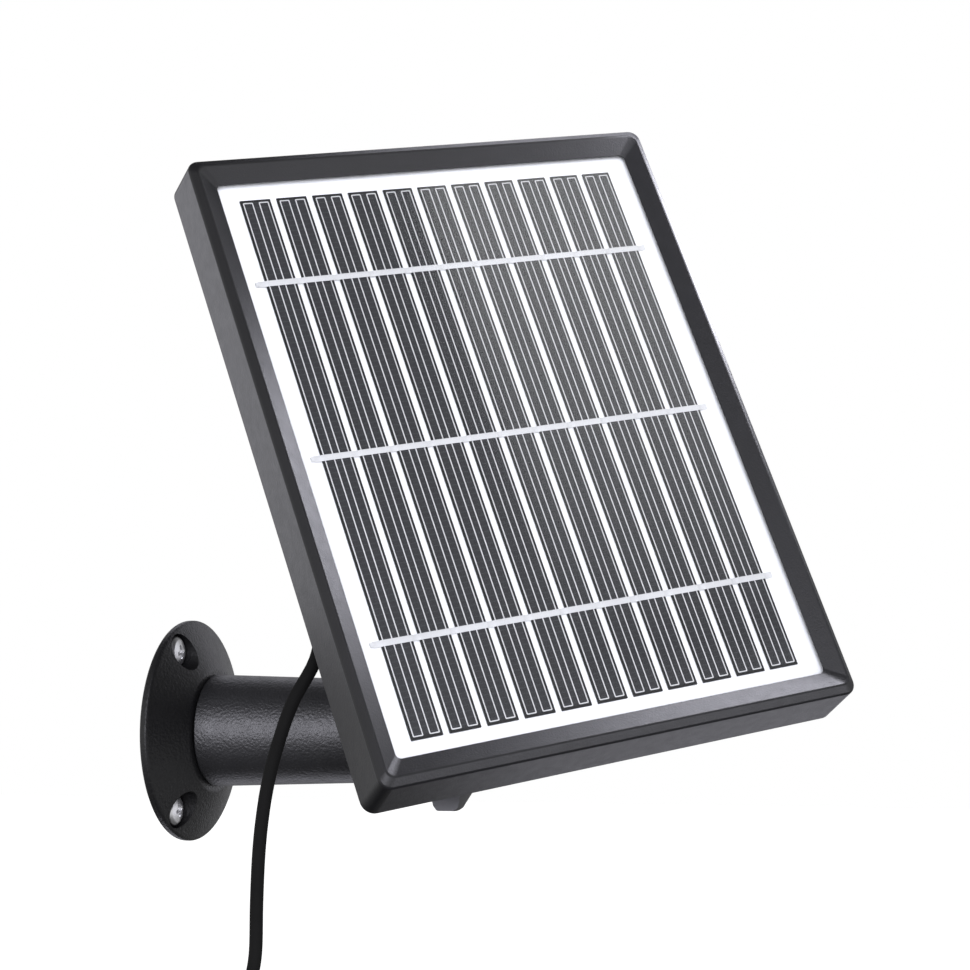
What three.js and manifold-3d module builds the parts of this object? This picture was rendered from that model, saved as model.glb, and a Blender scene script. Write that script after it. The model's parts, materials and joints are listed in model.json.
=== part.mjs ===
// Solar charging panel for a security camera, on a wall flange with a ball-jointed arm.
// Millimetres, +Z up. The wall is the plane y = 0 and the arm points along -Y.
// The origin is the middle of the flange's back face.
import * as THREE from 'three';
import { mergeVertices } from 'three/addons/utils/BufferGeometryUtils.js';
import Module from 'manifold-3d';

const wasm = await Module();
wasm.setup();

// ---- driving dimensions ----
const GAP = 0.3; // clearance left between neighbouring pieces
const ROUND = 32; // facets round a large turned piece
const FINE_ROUND = 48;
const MEDIUM_ROUND = 20;
const SCREW_ROUND = 16;
const SMALL_ROUND = 12; // facets round a small turned piece
const FEW_FACETS = 8;
const CORNER_STEPS = 3; // facets round each corner of a rounded rectangle
const CORD_SIDES = 8;

const FLANGE_R = 31;
const FLANGE_RIM = 2.3; // thickness at the edge
const FLANGE_TOP = 8.6; // height of the cone where the arm stands on it
const ARM_ROOT_R = 16.05;
const ARM_TIP_R = 13.6;
const ARM_TIP = 74; // distance from the wall to the end of the tapered tube
const ARM_THREAD_END = 83;
const ARM_THREAD_R = 13.4;
const SPIGOT_R = 6; // the flange's spigot that the arm turns on
const SPIGOT_TOP = 13;
const BOLT_HOLE_R = 2.5;
const CUP_BACK = 76; // where the friction cup's plug ends inside the arm
const CUP_BORE_R = 9.5;
const SCREW_CIRCLE_R = 25.2; // three wall screws, evenly spaced
const SCREW_ANGLES = [120, 240, 0]; // degrees from +X, seen from the room
const SCREW_POCKET_R = 5.1;
const SCREW_POCKET_FLOOR = 1;
const SCREW_HEAD_R = 4.3;
const SCREW_HEAD_SEAT = 1.3;
const SCREW_R = 2;
const SCREW_HOLE_R = 2.4;
const SCREW_LENGTH = 2; // how far the shank reaches behind the flange

const BALL_R = 12;
const BALL_AT = 91.5; // distance from the wall to the middle of the ball
const BALL_CLEARANCE = 0.2;
const RING_LIP = 2.5; // how far the lock ring reaches past the ball's middle
const RING_BACK = 74.5;
const RING_FRONT = BALL_AT + RING_LIP;
// [radius, distance from the wall] round the outside of the lock ring, before its lobes are cut
const RING_OUTLINE = [
  [20.3, RING_BACK], [21.6, 75.4], [21.6, 80.3], [20.8, 81.5], [17.2, 83.3], [15.6, 84.3],
  [14.9, 89], [13.5, RING_FRONT],
];
const LOBE_COUNT = 8;
const LOBE_HOLLOW_R = 7.5; // round hollows between the lobes
const LOBE_HOLLOW_AT = 25.1;
const LOBE_END = 84;
const STUD_R = 3.15;
const STUD_NECK_R = 2.6;

const PAN = 49.43; // degrees, panel turned from straight out towards -X
const TILT = 21.41; // degrees, panel face lifted above level
const ROLL = 10.54; // degrees, panel turned about its own face
const BALL_X = -11.15; // middle of the ball in the panel's own frame
const BALL_Y = -66.45;
const BALL_Z = -47.55;

const OPENING = [63.25, 82.25]; // half width and half height of the bezel opening
const BODY = [70.15, 89.6]; // half size of the housing at its front edge
const BODY_FLARE = 1.2; // extra half height at the back edge
const BACK_Z = -13.5; // back edge of the housing
const CREST_Z = 3.05; // highest line of the bezel
const FRONT_Z = 1.7; // front outer edge of the bezel
const CREST_INNER = [67.8, 86.95]; // half size of the flat crest, inside and outside
const CREST_OUTER = [68.3, 87.45];
const LIP_TOP = 0.6;
const LIP_Z = 0.35; // underside of the bezel lip
const SEAT_Z = -3.3; // ledge behind the laminate
const BOSS_R = 4;
const SHEET = [66.2, 85.2]; // half size of the laminate
const COVER_TOP = 0.05;
const COVER_THICKNESS = 0.4;
const RIBBON_TOP = -0.65;
const RIBBON_THICKNESS = 0.15;
const CELL_TOP = -1.1;
const CELL_THICKNESS = 0.3;
const BACKSHEET_TOP = -1.7;
const BACKSHEET_THICKNESS = 1.3;
const STRIP_COUNT = 11;
const STRIP_PITCH = 10.59;
const STRIP_WIDTH = 8.8;
const STRIP_LENGTH = 156;
const RIBBON_PITCH = 52;
const RIBBON_WIDTH = 1.7;
const RIBBON_END = 2.2; // how far a ribbon runs past the outer strips

const COVER_FACE = -13.3; // outside of the rear cover
const COVER_INSIDE = -11.5;
const PAD_FACE = -19.5; // face of the mounting pad
const PAD = [22, 10]; // half size of the pad's face
const INSERT_X = 11.15; // the two threaded inserts sit left and right of the middle
const INSERT_R = 4.5;
const INSERT_BORE_R = 3.45;
const INSERT_FACE = -19.2;
const INSERT_END = -9.5;
const NUT_RECESS_R = 6.2; // shallow round recess that the stud's lock nut seats in
const NUT_THICKNESS = 5;
const NUT_R = 5.8;
const NUT_Z = INSERT_FACE - BALL_Z - GAP; // outer end of the nut, measured from the ball's middle
const BOX = [20, 16]; // half size of the junction box
const BOX_DRAFT = 0.6; // the box is this much wider each way at its foot
const BOX_Y = -8;
const BOX_RIM = -21.6;
const LID_FACE = -24.6;
const LID_SCREW_SEAT = 0.8;
const GASKET_THICKNESS = 0.6;
const WIRE_HOLE_R = 4;
const BOARD_FACE = -17.2; // the side that carries the parts
const BOARD_THICKNESS = 1.6;
const GLAND_Z = -18.2;
const GLAND_THREAD_R = 3.1;
const GLAND_END = 10;
const CORD_EXIT_X = -42; // where the cord leaves its strain relief, panel frame

const CORD_R = 1.75;
// Middle line of the hanging lead, from the strain relief down to the coil.
const LEAD_POINTS = [
  [-33.05, -65.8, 58.95], [-36.3, -62.6, 57.6], [-39.6, -60.9, 52.8], [-42.4, -60.4, 45],
  [-45.2, -60.1, 35], [-47.2, -59.7, 26.5], [-48.4, -58.6, 18.8], [-49.3, -52.9, 8.2],
  [-49.5, -49.2, -1.6], [-49.3, -46.1, -12.5], [-49, -44.5, -21], [-48.6, -43.4, -30],
  [-48.2, -42.7, -43], [-48, -42.4, -56], [-48, -42.4, -72.2],
];
const COIL_X = -39;
const COIL_Y = -42.4;
const COIL_Z = -103;
const COIL_INNER_R = 12.2;
const COIL_OUTER_R = 29.8;
const COIL_HALF_WIDTH = 7.2;
const TAIL_Y = -51.8; // the tail hangs in front of the coil
// Middle line of the tail, from the coil down to the plug.
const TAIL_POINTS = [
  [-25, -51.8, -111], [-25, -51.8, -124], [-24.8, -51.8, -137], [-24.8, -51.8, -150],
];
const PLUG_TOP = -150.3;
const PLUG_X = -24.8;
const PLUG_FACE = -26; // end of the plug's grip, measured down from its top
const PLUG_TIP = -32.6;
const TIE_THICKNESS = 1.2;

// ---- materials ----
const paint = (color, roughness, metalness = 0) =>
  new THREE.MeshStandardMaterial({ color, roughness, metalness });
const HOUSING = paint(0x3a3a3d, 0.55);
const BRACKET = paint(0x2f2f31, 0.45);
const GRIP = paint(0x59595d, 0.55);
const RUBBER = paint(0x151516, 0.7);
const CABLE = paint(0x19191a, 0.6);
const ZINC = paint(0xc9c9cb, 0.28, 1);
const STEEL = paint(0xb4b6b8, 0.3, 1);
const BRASS = paint(0xb58d43, 0.35, 1);
const SILICON = paint(0x2c2d33, 0.25);
const TINNED = paint(0xc4c6c8, 0.35, 1);
const WHITE_SHEET = paint(0xf7f7f7, 0.4);
const CLEAR_SHEET = paint(0xeef2f4, 0.08);
const FOAM = paint(0x202022, 0.9);
const BOARD = paint(0x1f4a2e, 0.5);
const PLASTIC_LINER = paint(0xd8d6cf, 0.5);

// ---- geometry helpers ----
const radians = THREE.MathUtils.degToRad;

function signedVolume(geometry) {
  const position = geometry.attributes.position;
  const index = geometry.index.array;
  const corners = [new THREE.Vector3(), new THREE.Vector3(), new THREE.Vector3()];
  let total = 0;
  for (let i = 0; i < index.length; i += 3) {
    corners.forEach((corner, k) => corner.fromBufferAttribute(position, index[i + k]));
    total += corners[0].dot(corners[1].cross(corners[2])) / 6;
  }
  return total;
}

// Merges shared corners, drops empty triangles and turns every face outwards.
function closed(geometry) {
  const bare = geometry.clone();
  bare.deleteAttribute('normal');
  bare.deleteAttribute('uv');
  const merged = mergeVertices(bare, 1e-4);
  const kept = [];
  const index = merged.index.array;
  for (let i = 0; i < index.length; i += 3) {
    const [a, b, c] = [index[i], index[i + 1], index[i + 2]];
    if (a !== b && b !== c && c !== a) {
      kept.push(a, b, c);
    }
  }
  merged.setIndex(kept);
  if (signedVolume(merged) < 0) {
    merged.setIndex(kept.reverse());
  }
  return merged;
}

function toSolid(geometry) {
  const body = closed(geometry);
  const vertProperties = new Float32Array(body.attributes.position.array);
  const triVerts = new Uint32Array(body.index.array);
  return new wasm.Manifold(new wasm.Mesh({ numProp: 3, vertProperties, triVerts }));
}

function fromSolid(solid) {
  const { vertProperties, triVerts } = solid.getMesh();
  const geometry = new THREE.BufferGeometry();
  geometry.setAttribute('position', new THREE.BufferAttribute(new Float32Array(vertProperties), 3));
  geometry.setIndex(Array.from(triVerts));
  return geometry;
}

// Joins the added shapes to the first one, then cuts the removed shapes away.
function build(first, added = [], removed = []) {
  let solid = toSolid(first);
  for (const shape of added) {
    solid = solid.add(toSolid(shape));
  }
  for (const shape of removed) {
    solid = solid.subtract(toSolid(shape));
  }
  return fromSolid(solid);
}

// A turned piece about +Z from [radius, height] pairs; a ring's pairs close on themselves.
function turned(pairs, facets = ROUND) {
  const points = pairs.map(([radius, height]) => new THREE.Vector2(radius, height));
  return new THREE.LatheGeometry(points, facets).rotateX(Math.PI / 2);
}

function turnedRing(pairs, facets = ROUND) {
  return turned([...pairs, pairs[0]], facets);
}

function rod(radius, from, to, facets = SMALL_ROUND) {
  return turned([[0, from], [radius, from], [radius, to], [0, to]], facets);
}

function rodAt(x, y, radius, from, to, facets = SMALL_ROUND) {
  return rod(radius, from, to, facets).translate(x, y, 0);
}

function block(x0, x1, y0, y1, z0, z1) {
  const geometry = new THREE.BoxGeometry(x1 - x0, y1 - y0, z1 - z0);
  return geometry.translate((x0 + x1) / 2, (y0 + y1) / 2, (z0 + z1) / 2);
}

// The corners of a rounded rectangle at height z.
function roundedLoop(halfWidth, halfHeight, radius, z) {
  const loop = [];
  for (let corner = 0; corner < 4; corner += 1) {
    const sideX = corner === 0 || corner === 3 ? 1 : -1;
    const sideY = corner < 2 ? 1 : -1;
    for (let step = 0; step <= CORNER_STEPS; step += 1) {
      const angle = (corner + step / CORNER_STEPS) * (Math.PI / 2);
      loop.push([
        sideX * (halfWidth - radius) + radius * Math.cos(angle),
        sideY * (halfHeight - radius) + radius * Math.sin(angle),
        z,
      ]);
    }
  }
  return loop;
}

// A skin through equal loops: capped at both ends, or closed on itself into a frame.
function loft(loops, intoFrame = false) {
  const count = loops[0].length;
  const vertices = loops.flat(2);
  const faces = [];
  const bands = intoFrame ? loops.length : loops.length - 1;
  for (let band = 0; band < bands; band += 1) {
    const low = band * count;
    const high = ((band + 1) % loops.length) * count;
    for (let i = 0; i < count; i += 1) {
      const next = (i + 1) % count;
      faces.push(low + i, low + next, high + next, low + i, high + next, high + i);
    }
  }
  if (!intoFrame) {
    const last = (loops.length - 1) * count;
    for (let i = 1; i < count - 1; i += 1) {
      faces.push(0, i + 1, i, last, last + i, last + i + 1);
    }
  }
  const geometry = new THREE.BufferGeometry();
  geometry.setAttribute('position', new THREE.Float32BufferAttribute(vertices, 3));
  geometry.setIndex(faces);
  return geometry;
}

function roundedPlate(halfWidth, halfHeight, radius, z0, z1) {
  return loft([
    roundedLoop(halfWidth, halfHeight, radius, z0),
    roundedLoop(halfWidth, halfHeight, radius, z1),
  ]);
}

function roundedFrame(outer, inner, radius, z0, z1) {
  const wall = outer[0] - inner[0];
  const innerRadius = Math.max(radius - wall, 0.5);
  return loft([
    roundedLoop(outer[0], outer[1], radius, z0),
    roundedLoop(outer[0], outer[1], radius, z1),
    roundedLoop(inner[0], inner[1], innerRadius, z1),
    roundedLoop(inner[0], inner[1], innerRadius, z0),
  ], true);
}

// A cord along hand-placed points, cut into steps of about the given length.
function cordTube(points, step) {
  const places = points.map((p) => new THREE.Vector3(...p));
  const curve = new THREE.CatmullRomCurve3(places, false, 'centripetal');
  const section = new THREE.Shape();
  for (let i = 0; i < CORD_SIDES; i += 1) {
    const angle = (i / CORD_SIDES) * Math.PI * 2;
    const place = [CORD_R * Math.cos(angle), CORD_R * Math.sin(angle)];
    if (i === 0) {
      section.moveTo(...place);
    } else {
      section.lineTo(...place);
    }
  }
  section.closePath();
  const steps = Math.round(curve.getLength() / step);
  return new THREE.ExtrudeGeometry(section, { steps, extrudePath: curve, bevelEnabled: false });
}

function node(parent, name, geometry, material) {
  const mesh = new THREE.Mesh(closed(geometry), material);
  mesh.name = name;
  parent.add(mesh);
  return mesh;
}

// ---- wall flange and arm; local +Z runs along the arm, away from the wall ----
function flangeGeometry() {
  const recessR = 11;
  const recessDepth = 4.2;
  const edge = 0.4;
  const body = turnedRing([
    [recessR, 0], [FLANGE_R - edge, 0], [FLANGE_R, edge], [FLANGE_R, FLANGE_RIM - edge],
    [FLANGE_R - edge, FLANGE_RIM], [ARM_ROOT_R, FLANGE_TOP], [SPIGOT_R, FLANGE_TOP],
    [SPIGOT_R, SPIGOT_TOP], [BOLT_HOLE_R, SPIGOT_TOP], [BOLT_HOLE_R, recessDepth], [recessR, recessDepth],
  ], FINE_ROUND);
  const cuts = [];
  for (const angle of SCREW_ANGLES) {
    const x = SCREW_CIRCLE_R * Math.cos(radians(angle));
    const y = SCREW_CIRCLE_R * Math.sin(radians(angle));
    cuts.push(rodAt(x, y, SCREW_HOLE_R, -1, FLANGE_TOP));
    cuts.push(rodAt(x, y, SCREW_POCKET_R, SCREW_POCKET_FLOOR, FLANGE_TOP, MEDIUM_ROUND));
  }
  return build(body, [], cuts);
}

// A pan-head screw with a cross recess; its head sits in the flange's pocket.
function wallScrewGeometry() {
  const seat = SCREW_HEAD_SEAT;
  const point = 0.8;
  const edgeTop = seat + 0.9;
  const domeR = 3.5;
  const domeEdge = seat + 1.7;
  const crownR = 1.9;
  const crownEdge = seat + 2.2;
  const headTop = seat + 2.35;
  const head = turned([
    [0, -SCREW_LENGTH], [SCREW_R - point, -SCREW_LENGTH], [SCREW_R, -SCREW_LENGTH + point],
    [SCREW_R, seat], [SCREW_HEAD_R, seat], [SCREW_HEAD_R, edgeTop], [domeR, domeEdge],
    [crownR, crownEdge], [0, headTop],
  ], SCREW_ROUND);
  const half = 0.55;
  const reach = 2.5;
  const floor = seat + 0.7;
  const across = block(-reach, reach, -half, half, floor, headTop + 1);
  const along = block(-half, half, -reach, reach, floor, headTop + 1);
  return build(head, [], [across, along]);
}

// The tube turns on the flange's spigot; it is hollow behind the ball socket.
function armTubeGeometry() {
  const base = FLANGE_TOP + GAP;
  const holeR = SPIGOT_R + GAP;
  const holeTop = SPIGOT_TOP + GAP;
  const pilotR = 2.4;
  const pilotEnd = 25.6;
  const hollowStart = 27;
  const hollowR = 9;
  const widestR = 12;
  const widestAt = 30;
  const taper = (ARM_ROOT_R - ARM_TIP_R) / ARM_TIP;
  return turned([
    [0, pilotEnd], [pilotR, pilotEnd], [pilotR, holeTop], [holeR, holeTop], [holeR, base],
    [ARM_ROOT_R - taper * base, base], [ARM_TIP_R, ARM_TIP], [ARM_THREAD_R, ARM_THREAD_END],
    [CUP_BORE_R, ARM_THREAD_END], [CUP_BORE_R, CUP_BACK - GAP], [CUP_BORE_R + 0.9, ARM_TIP],
    [widestR, widestAt], [hollowR, hollowStart], [0, hollowStart],
  ]);
}

function centreBoltGeometry() {
  const headR = 4.4;
  const headBack = 0.5;
  const headFront = 2.4;
  const shankR = 2.1;
  const end = 25;
  return turned([
    [0, headBack], [headR, headBack], [headR, headFront], [shankR, headFront + GAP],
    [shankR, end - 1], [0, end],
  ], SMALL_ROUND);
}

function centreWasherGeometry() {
  const outerR = 6.5;
  const back = 2.8;
  const front = 3.8;
  return turnedRing([
    [BOLT_HOLE_R, back], [outerR, back], [outerR, front], [BOLT_HOLE_R, front],
  ], MEDIUM_ROUND);
}

// The friction cup carries the back of the ball on the end of the arm.
function socketCupGeometry() {
  const sphere = BALL_R + BALL_CLEARANCE;
  const plugR = CUP_BORE_R - GAP;
  const flangeR = 12.2;
  const flangeBack = ARM_THREAD_END + GAP;
  const flangeFront = 86.5;
  const arc = [];
  const steps = 5;
  const edge = Math.acos((BALL_AT - flangeFront) / sphere);
  for (let i = steps; i >= 0; i -= 1) {
    const angle = (edge * i) / steps;
    arc.push([sphere * Math.sin(angle), BALL_AT - sphere * Math.cos(angle)]);
  }
  return turned([
    [0, CUP_BACK], [plugR, CUP_BACK], [plugR, flangeBack], [flangeR, flangeBack],
    [flangeR, flangeFront], ...arc,
  ]);
}

// Lobed grip ring with a long nose; its front lip holds the ball in the cup.
function lockRingGeometry() {
  const lipR = Math.sqrt(BALL_R ** 2 - RING_LIP ** 2) + 0.16;
  const bore = ARM_TIP_R + 0.35;
  const noseBore = BALL_R + 0.5;
  const boreEnd = 83.7;
  const body = turnedRing([
    [bore, RING_BACK], ...RING_OUTLINE, [lipR, RING_FRONT], [BALL_R + GAP, BALL_AT],
    [noseBore, BALL_AT - 1], [noseBore, boreEnd + GAP], [bore, boreEnd],
  ], FINE_ROUND);
  const hollows = [];
  for (let i = 0; i < LOBE_COUNT; i += 1) {
    const angle = ((i + 0.5) / LOBE_COUNT) * Math.PI * 2;
    const x = LOBE_HOLLOW_AT * Math.cos(angle);
    const y = LOBE_HOLLOW_AT * Math.sin(angle);
    hollows.push(rodAt(x, y, LOBE_HOLLOW_R, RING_BACK - 1, LOBE_END, MEDIUM_ROUND));
  }
  return build(body, [], hollows);
}

// The stud runs from the ball's surface into the threaded insert.
function studGeometry() {
  const chamfer = STUD_R - STUD_NECK_R;
  const start = BALL_R + GAP;
  const threadStart = BALL_R + 4.5;
  const end = -BALL_Z - 10;
  return turned([
    [0, start], [STUD_NECK_R, start], [STUD_NECK_R, threadStart], [STUD_R, threadStart + chamfer],
    [STUD_R, end - chamfer], [STUD_NECK_R, end], [0, end],
  ], SCREW_ROUND);
}

function lockNutGeometry() {
  const chamfer = 0.6;
  const bottom = NUT_Z - NUT_THICKNESS;
  const hexagon = turned([
    [0, bottom], [NUT_R - chamfer, bottom], [NUT_R, bottom + chamfer], [NUT_R, NUT_Z - chamfer],
    [NUT_R - chamfer, NUT_Z], [0, NUT_Z],
  ], 6);
  return build(hexagon, [], [rod(STUD_R + GAP, bottom - 1, NUT_Z + 1)]);
}

// ---- panel pieces; local X runs across the panel, Y up it and Z out of its face ----
function frontFrameGeometry() {
  const [openX, openY] = OPENING;
  const [bodyX, bodyY] = BODY;
  const wall = 1.8;
  const insideX = bodyX - wall;
  const insideY = bodyY - wall;
  const seatX = SHEET[0] + 0.4;
  const seatY = SHEET[1] + 0.4;
  const edge = 0.5;
  const shell = loft([
    roundedLoop(openX, openY, 1.5, LIP_TOP),
    roundedLoop(...CREST_INNER, 2.2, CREST_Z),
    roundedLoop(...CREST_OUTER, 2.4, CREST_Z),
    roundedLoop(bodyX - 0.35, bodyY - 0.35, 3, FRONT_Z + 0.25),
    roundedLoop(bodyX, bodyY, 3.2, FRONT_Z - 0.3),
    roundedLoop(bodyX, bodyY + BODY_FLARE, 3.6, BACK_Z + edge),
    roundedLoop(bodyX - edge, bodyY + BODY_FLARE - edge, 3.2, BACK_Z),
    roundedLoop(insideX, insideY + BODY_FLARE, 2, BACK_Z),
    roundedLoop(insideX, insideY, 1.8, SEAT_Z - 0.3),
    roundedLoop(seatX, seatY, 1.6, SEAT_Z),
    roundedLoop(seatX, seatY, 1.6, LIP_Z),
    roundedLoop(openX, openY, 1.5, LIP_Z),
  ], true);
  const bosses = [];
  const pilots = [];
  const intoWall = 0.6;
  for (const [x, y] of coverScrewPlaces()) {
    const webStart = x > 0 ? x : -insideX - intoWall;
    const webEnd = x > 0 ? insideX + intoWall : x;
    bosses.push(rodAt(x, y, BOSS_R, COVER_INSIDE + GAP, SEAT_Z - 0.1));
    bosses.push(block(webStart, webEnd, y - 1, y + 1, COVER_INSIDE + 0.5, SEAT_Z - 0.7));
    pilots.push(rodAt(x, y, 1.45, COVER_INSIDE - 0.5, SEAT_Z - 1.9, FEW_FACETS));
  }
  return build(shell, bosses, pilots);
}

function coverScrewPlaces() {
  const x = BODY[0] - 5.5;
  const y = BODY[1] - 5;
  return [[-x, y], [x, y], [-x, 0], [x, 0], [-x, -y], [x, -y]];
}

function coverScrewGeometry() {
  const headR = 2.3;
  const shankR = 1.1;
  const top = -14;
  const seat = -12.8;
  const tip = -6.2;
  return turned([
    [0, top], [headR / 2, top + 0.1], [headR, COVER_FACE], [headR, seat], [shankR, seat],
    [shankR, tip - 1], [0, tip],
  ], FEW_FACETS);
}

function rearCoverGeometry() {
  const halfX = BODY[0] - 2.1;
  const halfY = BODY[1] - 0.9;
  const ribZ = COVER_INSIDE - 1;
  const plate = loft([
    roundedLoop(halfX - 0.5, halfY - 0.5, 1.6, COVER_FACE),
    roundedLoop(halfX, halfY, 2, COVER_FACE + 0.5),
    roundedLoop(halfX, halfY - 0.2, 2, COVER_INSIDE),
  ]);
  const rib = roundedFrame([59.5, 79.5], [57.7, 77.7], 3, ribZ, -4.6);
  const pad = loft([
    roundedLoop(PAD[0], PAD[1], 5, PAD_FACE),
    roundedLoop(PAD[0] + 0.6, PAD[1] + 0.6, 5.6, PAD_FACE + 0.6),
    roundedLoop(PAD[0] + 1.6, PAD[1] + 1.6, 6.6, ribZ),
  ]).translate(0, BALL_Y, 0);
  const backing = roundedPlate(PAD[0] - 1, PAD[1] - 0.4, 4, ribZ, -7.6).translate(0, BALL_Y, 0);
  const stiffeners = [];
  const half = 0.7;
  for (const x of [-40, 40]) {
    stiffeners.push(block(x - half, x + half, -77.8, 77.8, ribZ + 0.5, -6.5));
  }
  for (const y of [28, 52]) {
    stiffeners.push(block(-57.8, 57.8, y - half, y + half, ribZ + 0.5, -7));
  }
  return build(plate, [rib, pad, backing, ...stiffeners], rearCoverCuts());
}

// Insert holes with a shallow recess for the lock nut, screw holes, and a hole for the wires.
function rearCoverCuts() {
  const outside = COVER_FACE - 2;
  const through = -9;
  const cuts = [];
  for (const x of [-INSERT_X, INSERT_X]) {
    cuts.push(rodAt(x, BALL_Y, INSERT_R + GAP, PAD_FACE - 1, INSERT_END + GAP, SCREW_ROUND));
    cuts.push(rodAt(x, BALL_Y, NUT_RECESS_R, PAD_FACE - 1, INSERT_FACE + GAP, MEDIUM_ROUND));
  }
  for (const [x, y] of coverScrewPlaces()) {
    cuts.push(rodAt(x, y, 1.5, outside, through, FEW_FACETS));
    cuts.push(rodAt(x, y, 2.8, outside, COVER_FACE + 0.8));
  }
  cuts.push(rodAt(0, BOX_Y, WIRE_HOLE_R, outside, through));
  return cuts;
}

// A brass insert with one locking groove.
function insertGeometry() {
  const grooveR = 4.1;
  const grooveStart = -14.8;
  const grooveEnd = -13.6;
  const slope = 0.3;
  return turnedRing([
    [INSERT_BORE_R, INSERT_FACE], [INSERT_R, INSERT_FACE], [INSERT_R, grooveStart],
    [grooveR, grooveStart + slope], [grooveR, grooveEnd - slope], [INSERT_R, grooveEnd],
    [INSERT_R, INSERT_END], [INSERT_BORE_R, INSERT_END],
  ], SCREW_ROUND);
}

function junctionBoxGeometry() {
  const [halfX, halfY] = BOX;
  const top = COVER_FACE - GAP;
  const wall = 1.8;
  const floor = 1.4;
  const shell = loft([
    roundedLoop(halfX, halfY, 3, BOX_RIM),
    roundedLoop(halfX + BOX_DRAFT, halfY + BOX_DRAFT, 3.4, top),
  ]);
  const hollow = roundedPlate(halfX - wall, halfY - wall, 1.4, BOX_RIM - 1, top - floor);
  const posts = [];
  const pilots = [];
  for (const [x, y] of boxScrewPlaces()) {
    posts.push(rodAt(x, y, 2.5, BOX_RIM, top - 1));
    pilots.push(rodAt(x, y, 1.2, BOX_RIM - 1, top - 2.2, FEW_FACETS));
  }
  const bore = rod(GLAND_THREAD_R + GAP, -BOX[0] - 2, -BOX[0] + 4);
  bore.rotateY(Math.PI / 2).translate(0, 0, GLAND_Z);
  const wireHole = rod(WIRE_HOLE_R, BOX_RIM + 1, top + 1);
  const opened = build(shell, [], [hollow]);
  const geometry = build(opened, posts, [...pilots, bore, wireHole]);
  return geometry.translate(0, BOX_Y, 0);
}

function boxScrewPlaces() {
  const x = BOX[0] - 3.6;
  const y = BOX[1] - 3.6;
  return [[-x, y], [x, y], [-x, -y], [x, -y]];
}

function boxGasketGeometry() {
  const outer = [BOX[0] - 0.2, BOX[1] - 0.2];
  const inner = [BOX[0] - 1.6, BOX[1] - 1.6];
  const z = BOX_RIM - GAP;
  return roundedFrame(outer, inner, 2.8, z - GASKET_THICKNESS, z).translate(0, BOX_Y, 0);
}

function boxLidGeometry() {
  const [halfX, halfY] = BOX;
  const inside = BOX_RIM - GASKET_THICKNESS - 2 * GAP;
  const edge = 0.7;
  const plate = loft([
    roundedLoop(halfX - edge, halfY - edge, 2.4, LID_FACE),
    roundedLoop(halfX, halfY, 3, LID_FACE + edge),
    roundedLoop(halfX, halfY, 3, inside),
  ]);
  const cuts = [];
  for (const [x, y] of boxScrewPlaces()) {
    cuts.push(rodAt(x, y, 1.3, LID_FACE - 1, inside + 1, FEW_FACETS));
    cuts.push(rodAt(x, y, 2.4, LID_FACE - 1, LID_FACE + LID_SCREW_SEAT));
  }
  return build(plate, [], cuts).translate(0, BOX_Y, 0);
}

function boxScrewGeometry() {
  const seat = LID_FACE + LID_SCREW_SEAT - GAP;
  const headR = 1.9;
  const shankR = 0.85;
  const headHeight = 1.1;
  const shank = 7;
  return turned([
    [0, seat - headHeight], [headR / 2, seat - headHeight + 0.05], [headR, seat - headHeight / 2],
    [headR, seat], [shankR, seat], [shankR, seat + shank], [0, seat + shank + 0.6],
  ], FEW_FACETS);
}

// The gland body screws through the left wall of the box; local +Z points away from the box.
function glandBodyGeometry() {
  const hexR = 4.4;
  const hexEnd = 3.4;
  const neckR = 3.3;
  const neckEnd = 5.6;
  const thread = rod(GLAND_THREAD_R, -2.6, GAP + 0.2);
  const hexagon = rod(hexR, GAP, hexEnd, 6);
  const neck = rod(neckR, hexEnd - 0.2, neckEnd);
  return build(thread, [hexagon, neck], [rod(CORD_R + GAP, -4, neckEnd + 1)]);
}

function glandNutGeometry() {
  const outerR = 4.3;
  const boreR = 3.6;
  const back = 3.7;
  const neckEnd = 5.9;
  const shoulder = 7.6;
  const throat = CORD_R + 0.35;
  return turnedRing([
    [boreR, back], [outerR, back], [outerR, shoulder], [3.4, 9.4], [2.6, GLAND_END],
    [throat, GLAND_END], [throat, neckEnd], [boreR, neckEnd],
  ], SMALL_ROUND);
}

// A ribbed, tapered sleeve: each rib is a little smaller than the one before it.
function strainReliefGeometry() {
  const start = GLAND_END + GAP;
  const end = -CORD_EXIT_X - BOX[0] - BOX_DRAFT - GAP;
  const ribs = [[2.55, 2.5], [2.4, 2.35], [2.25, 2.15]];
  const ribPitch = 2.2;
  const firstRib = 12.5;
  const pairs = [[0, start], [2.7, start], [2.7, start + 1.1]];
  ribs.forEach(([backR, frontR], i) => {
    const z = firstRib + ribPitch * i;
    pairs.push([backR - 0.35, z - 0.6], [backR, z], [frontR, z + 1.1]);
  });
  pairs.push([1.9, 18.5], [2.1, 19.1], [2, end], [0, end]);
  return turned(pairs, FEW_FACETS);
}

function stripPlace(index) {
  return (index - (STRIP_COUNT - 1) / 2) * STRIP_PITCH;
}

function ribbonHalfLength() {
  return stripPlace(STRIP_COUNT - 1) + STRIP_WIDTH / 2 + RIBBON_END;
}

// A moulded diode lying along X, with a lead at each end.
function diodeGeometry() {
  const bodyR = 1.3;
  const leadR = 0.35;
  const halfBody = 2.5;
  const halfLength = 6;
  return turned([
    [0, -halfLength], [leadR, -halfLength], [leadR, -halfBody - 0.1], [bodyR, -halfBody],
    [bodyR, halfBody], [leadR, halfBody + 0.1], [leadR, halfLength], [0, halfLength],
  ], FEW_FACETS).rotateY(Math.PI / 2);
}

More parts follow.
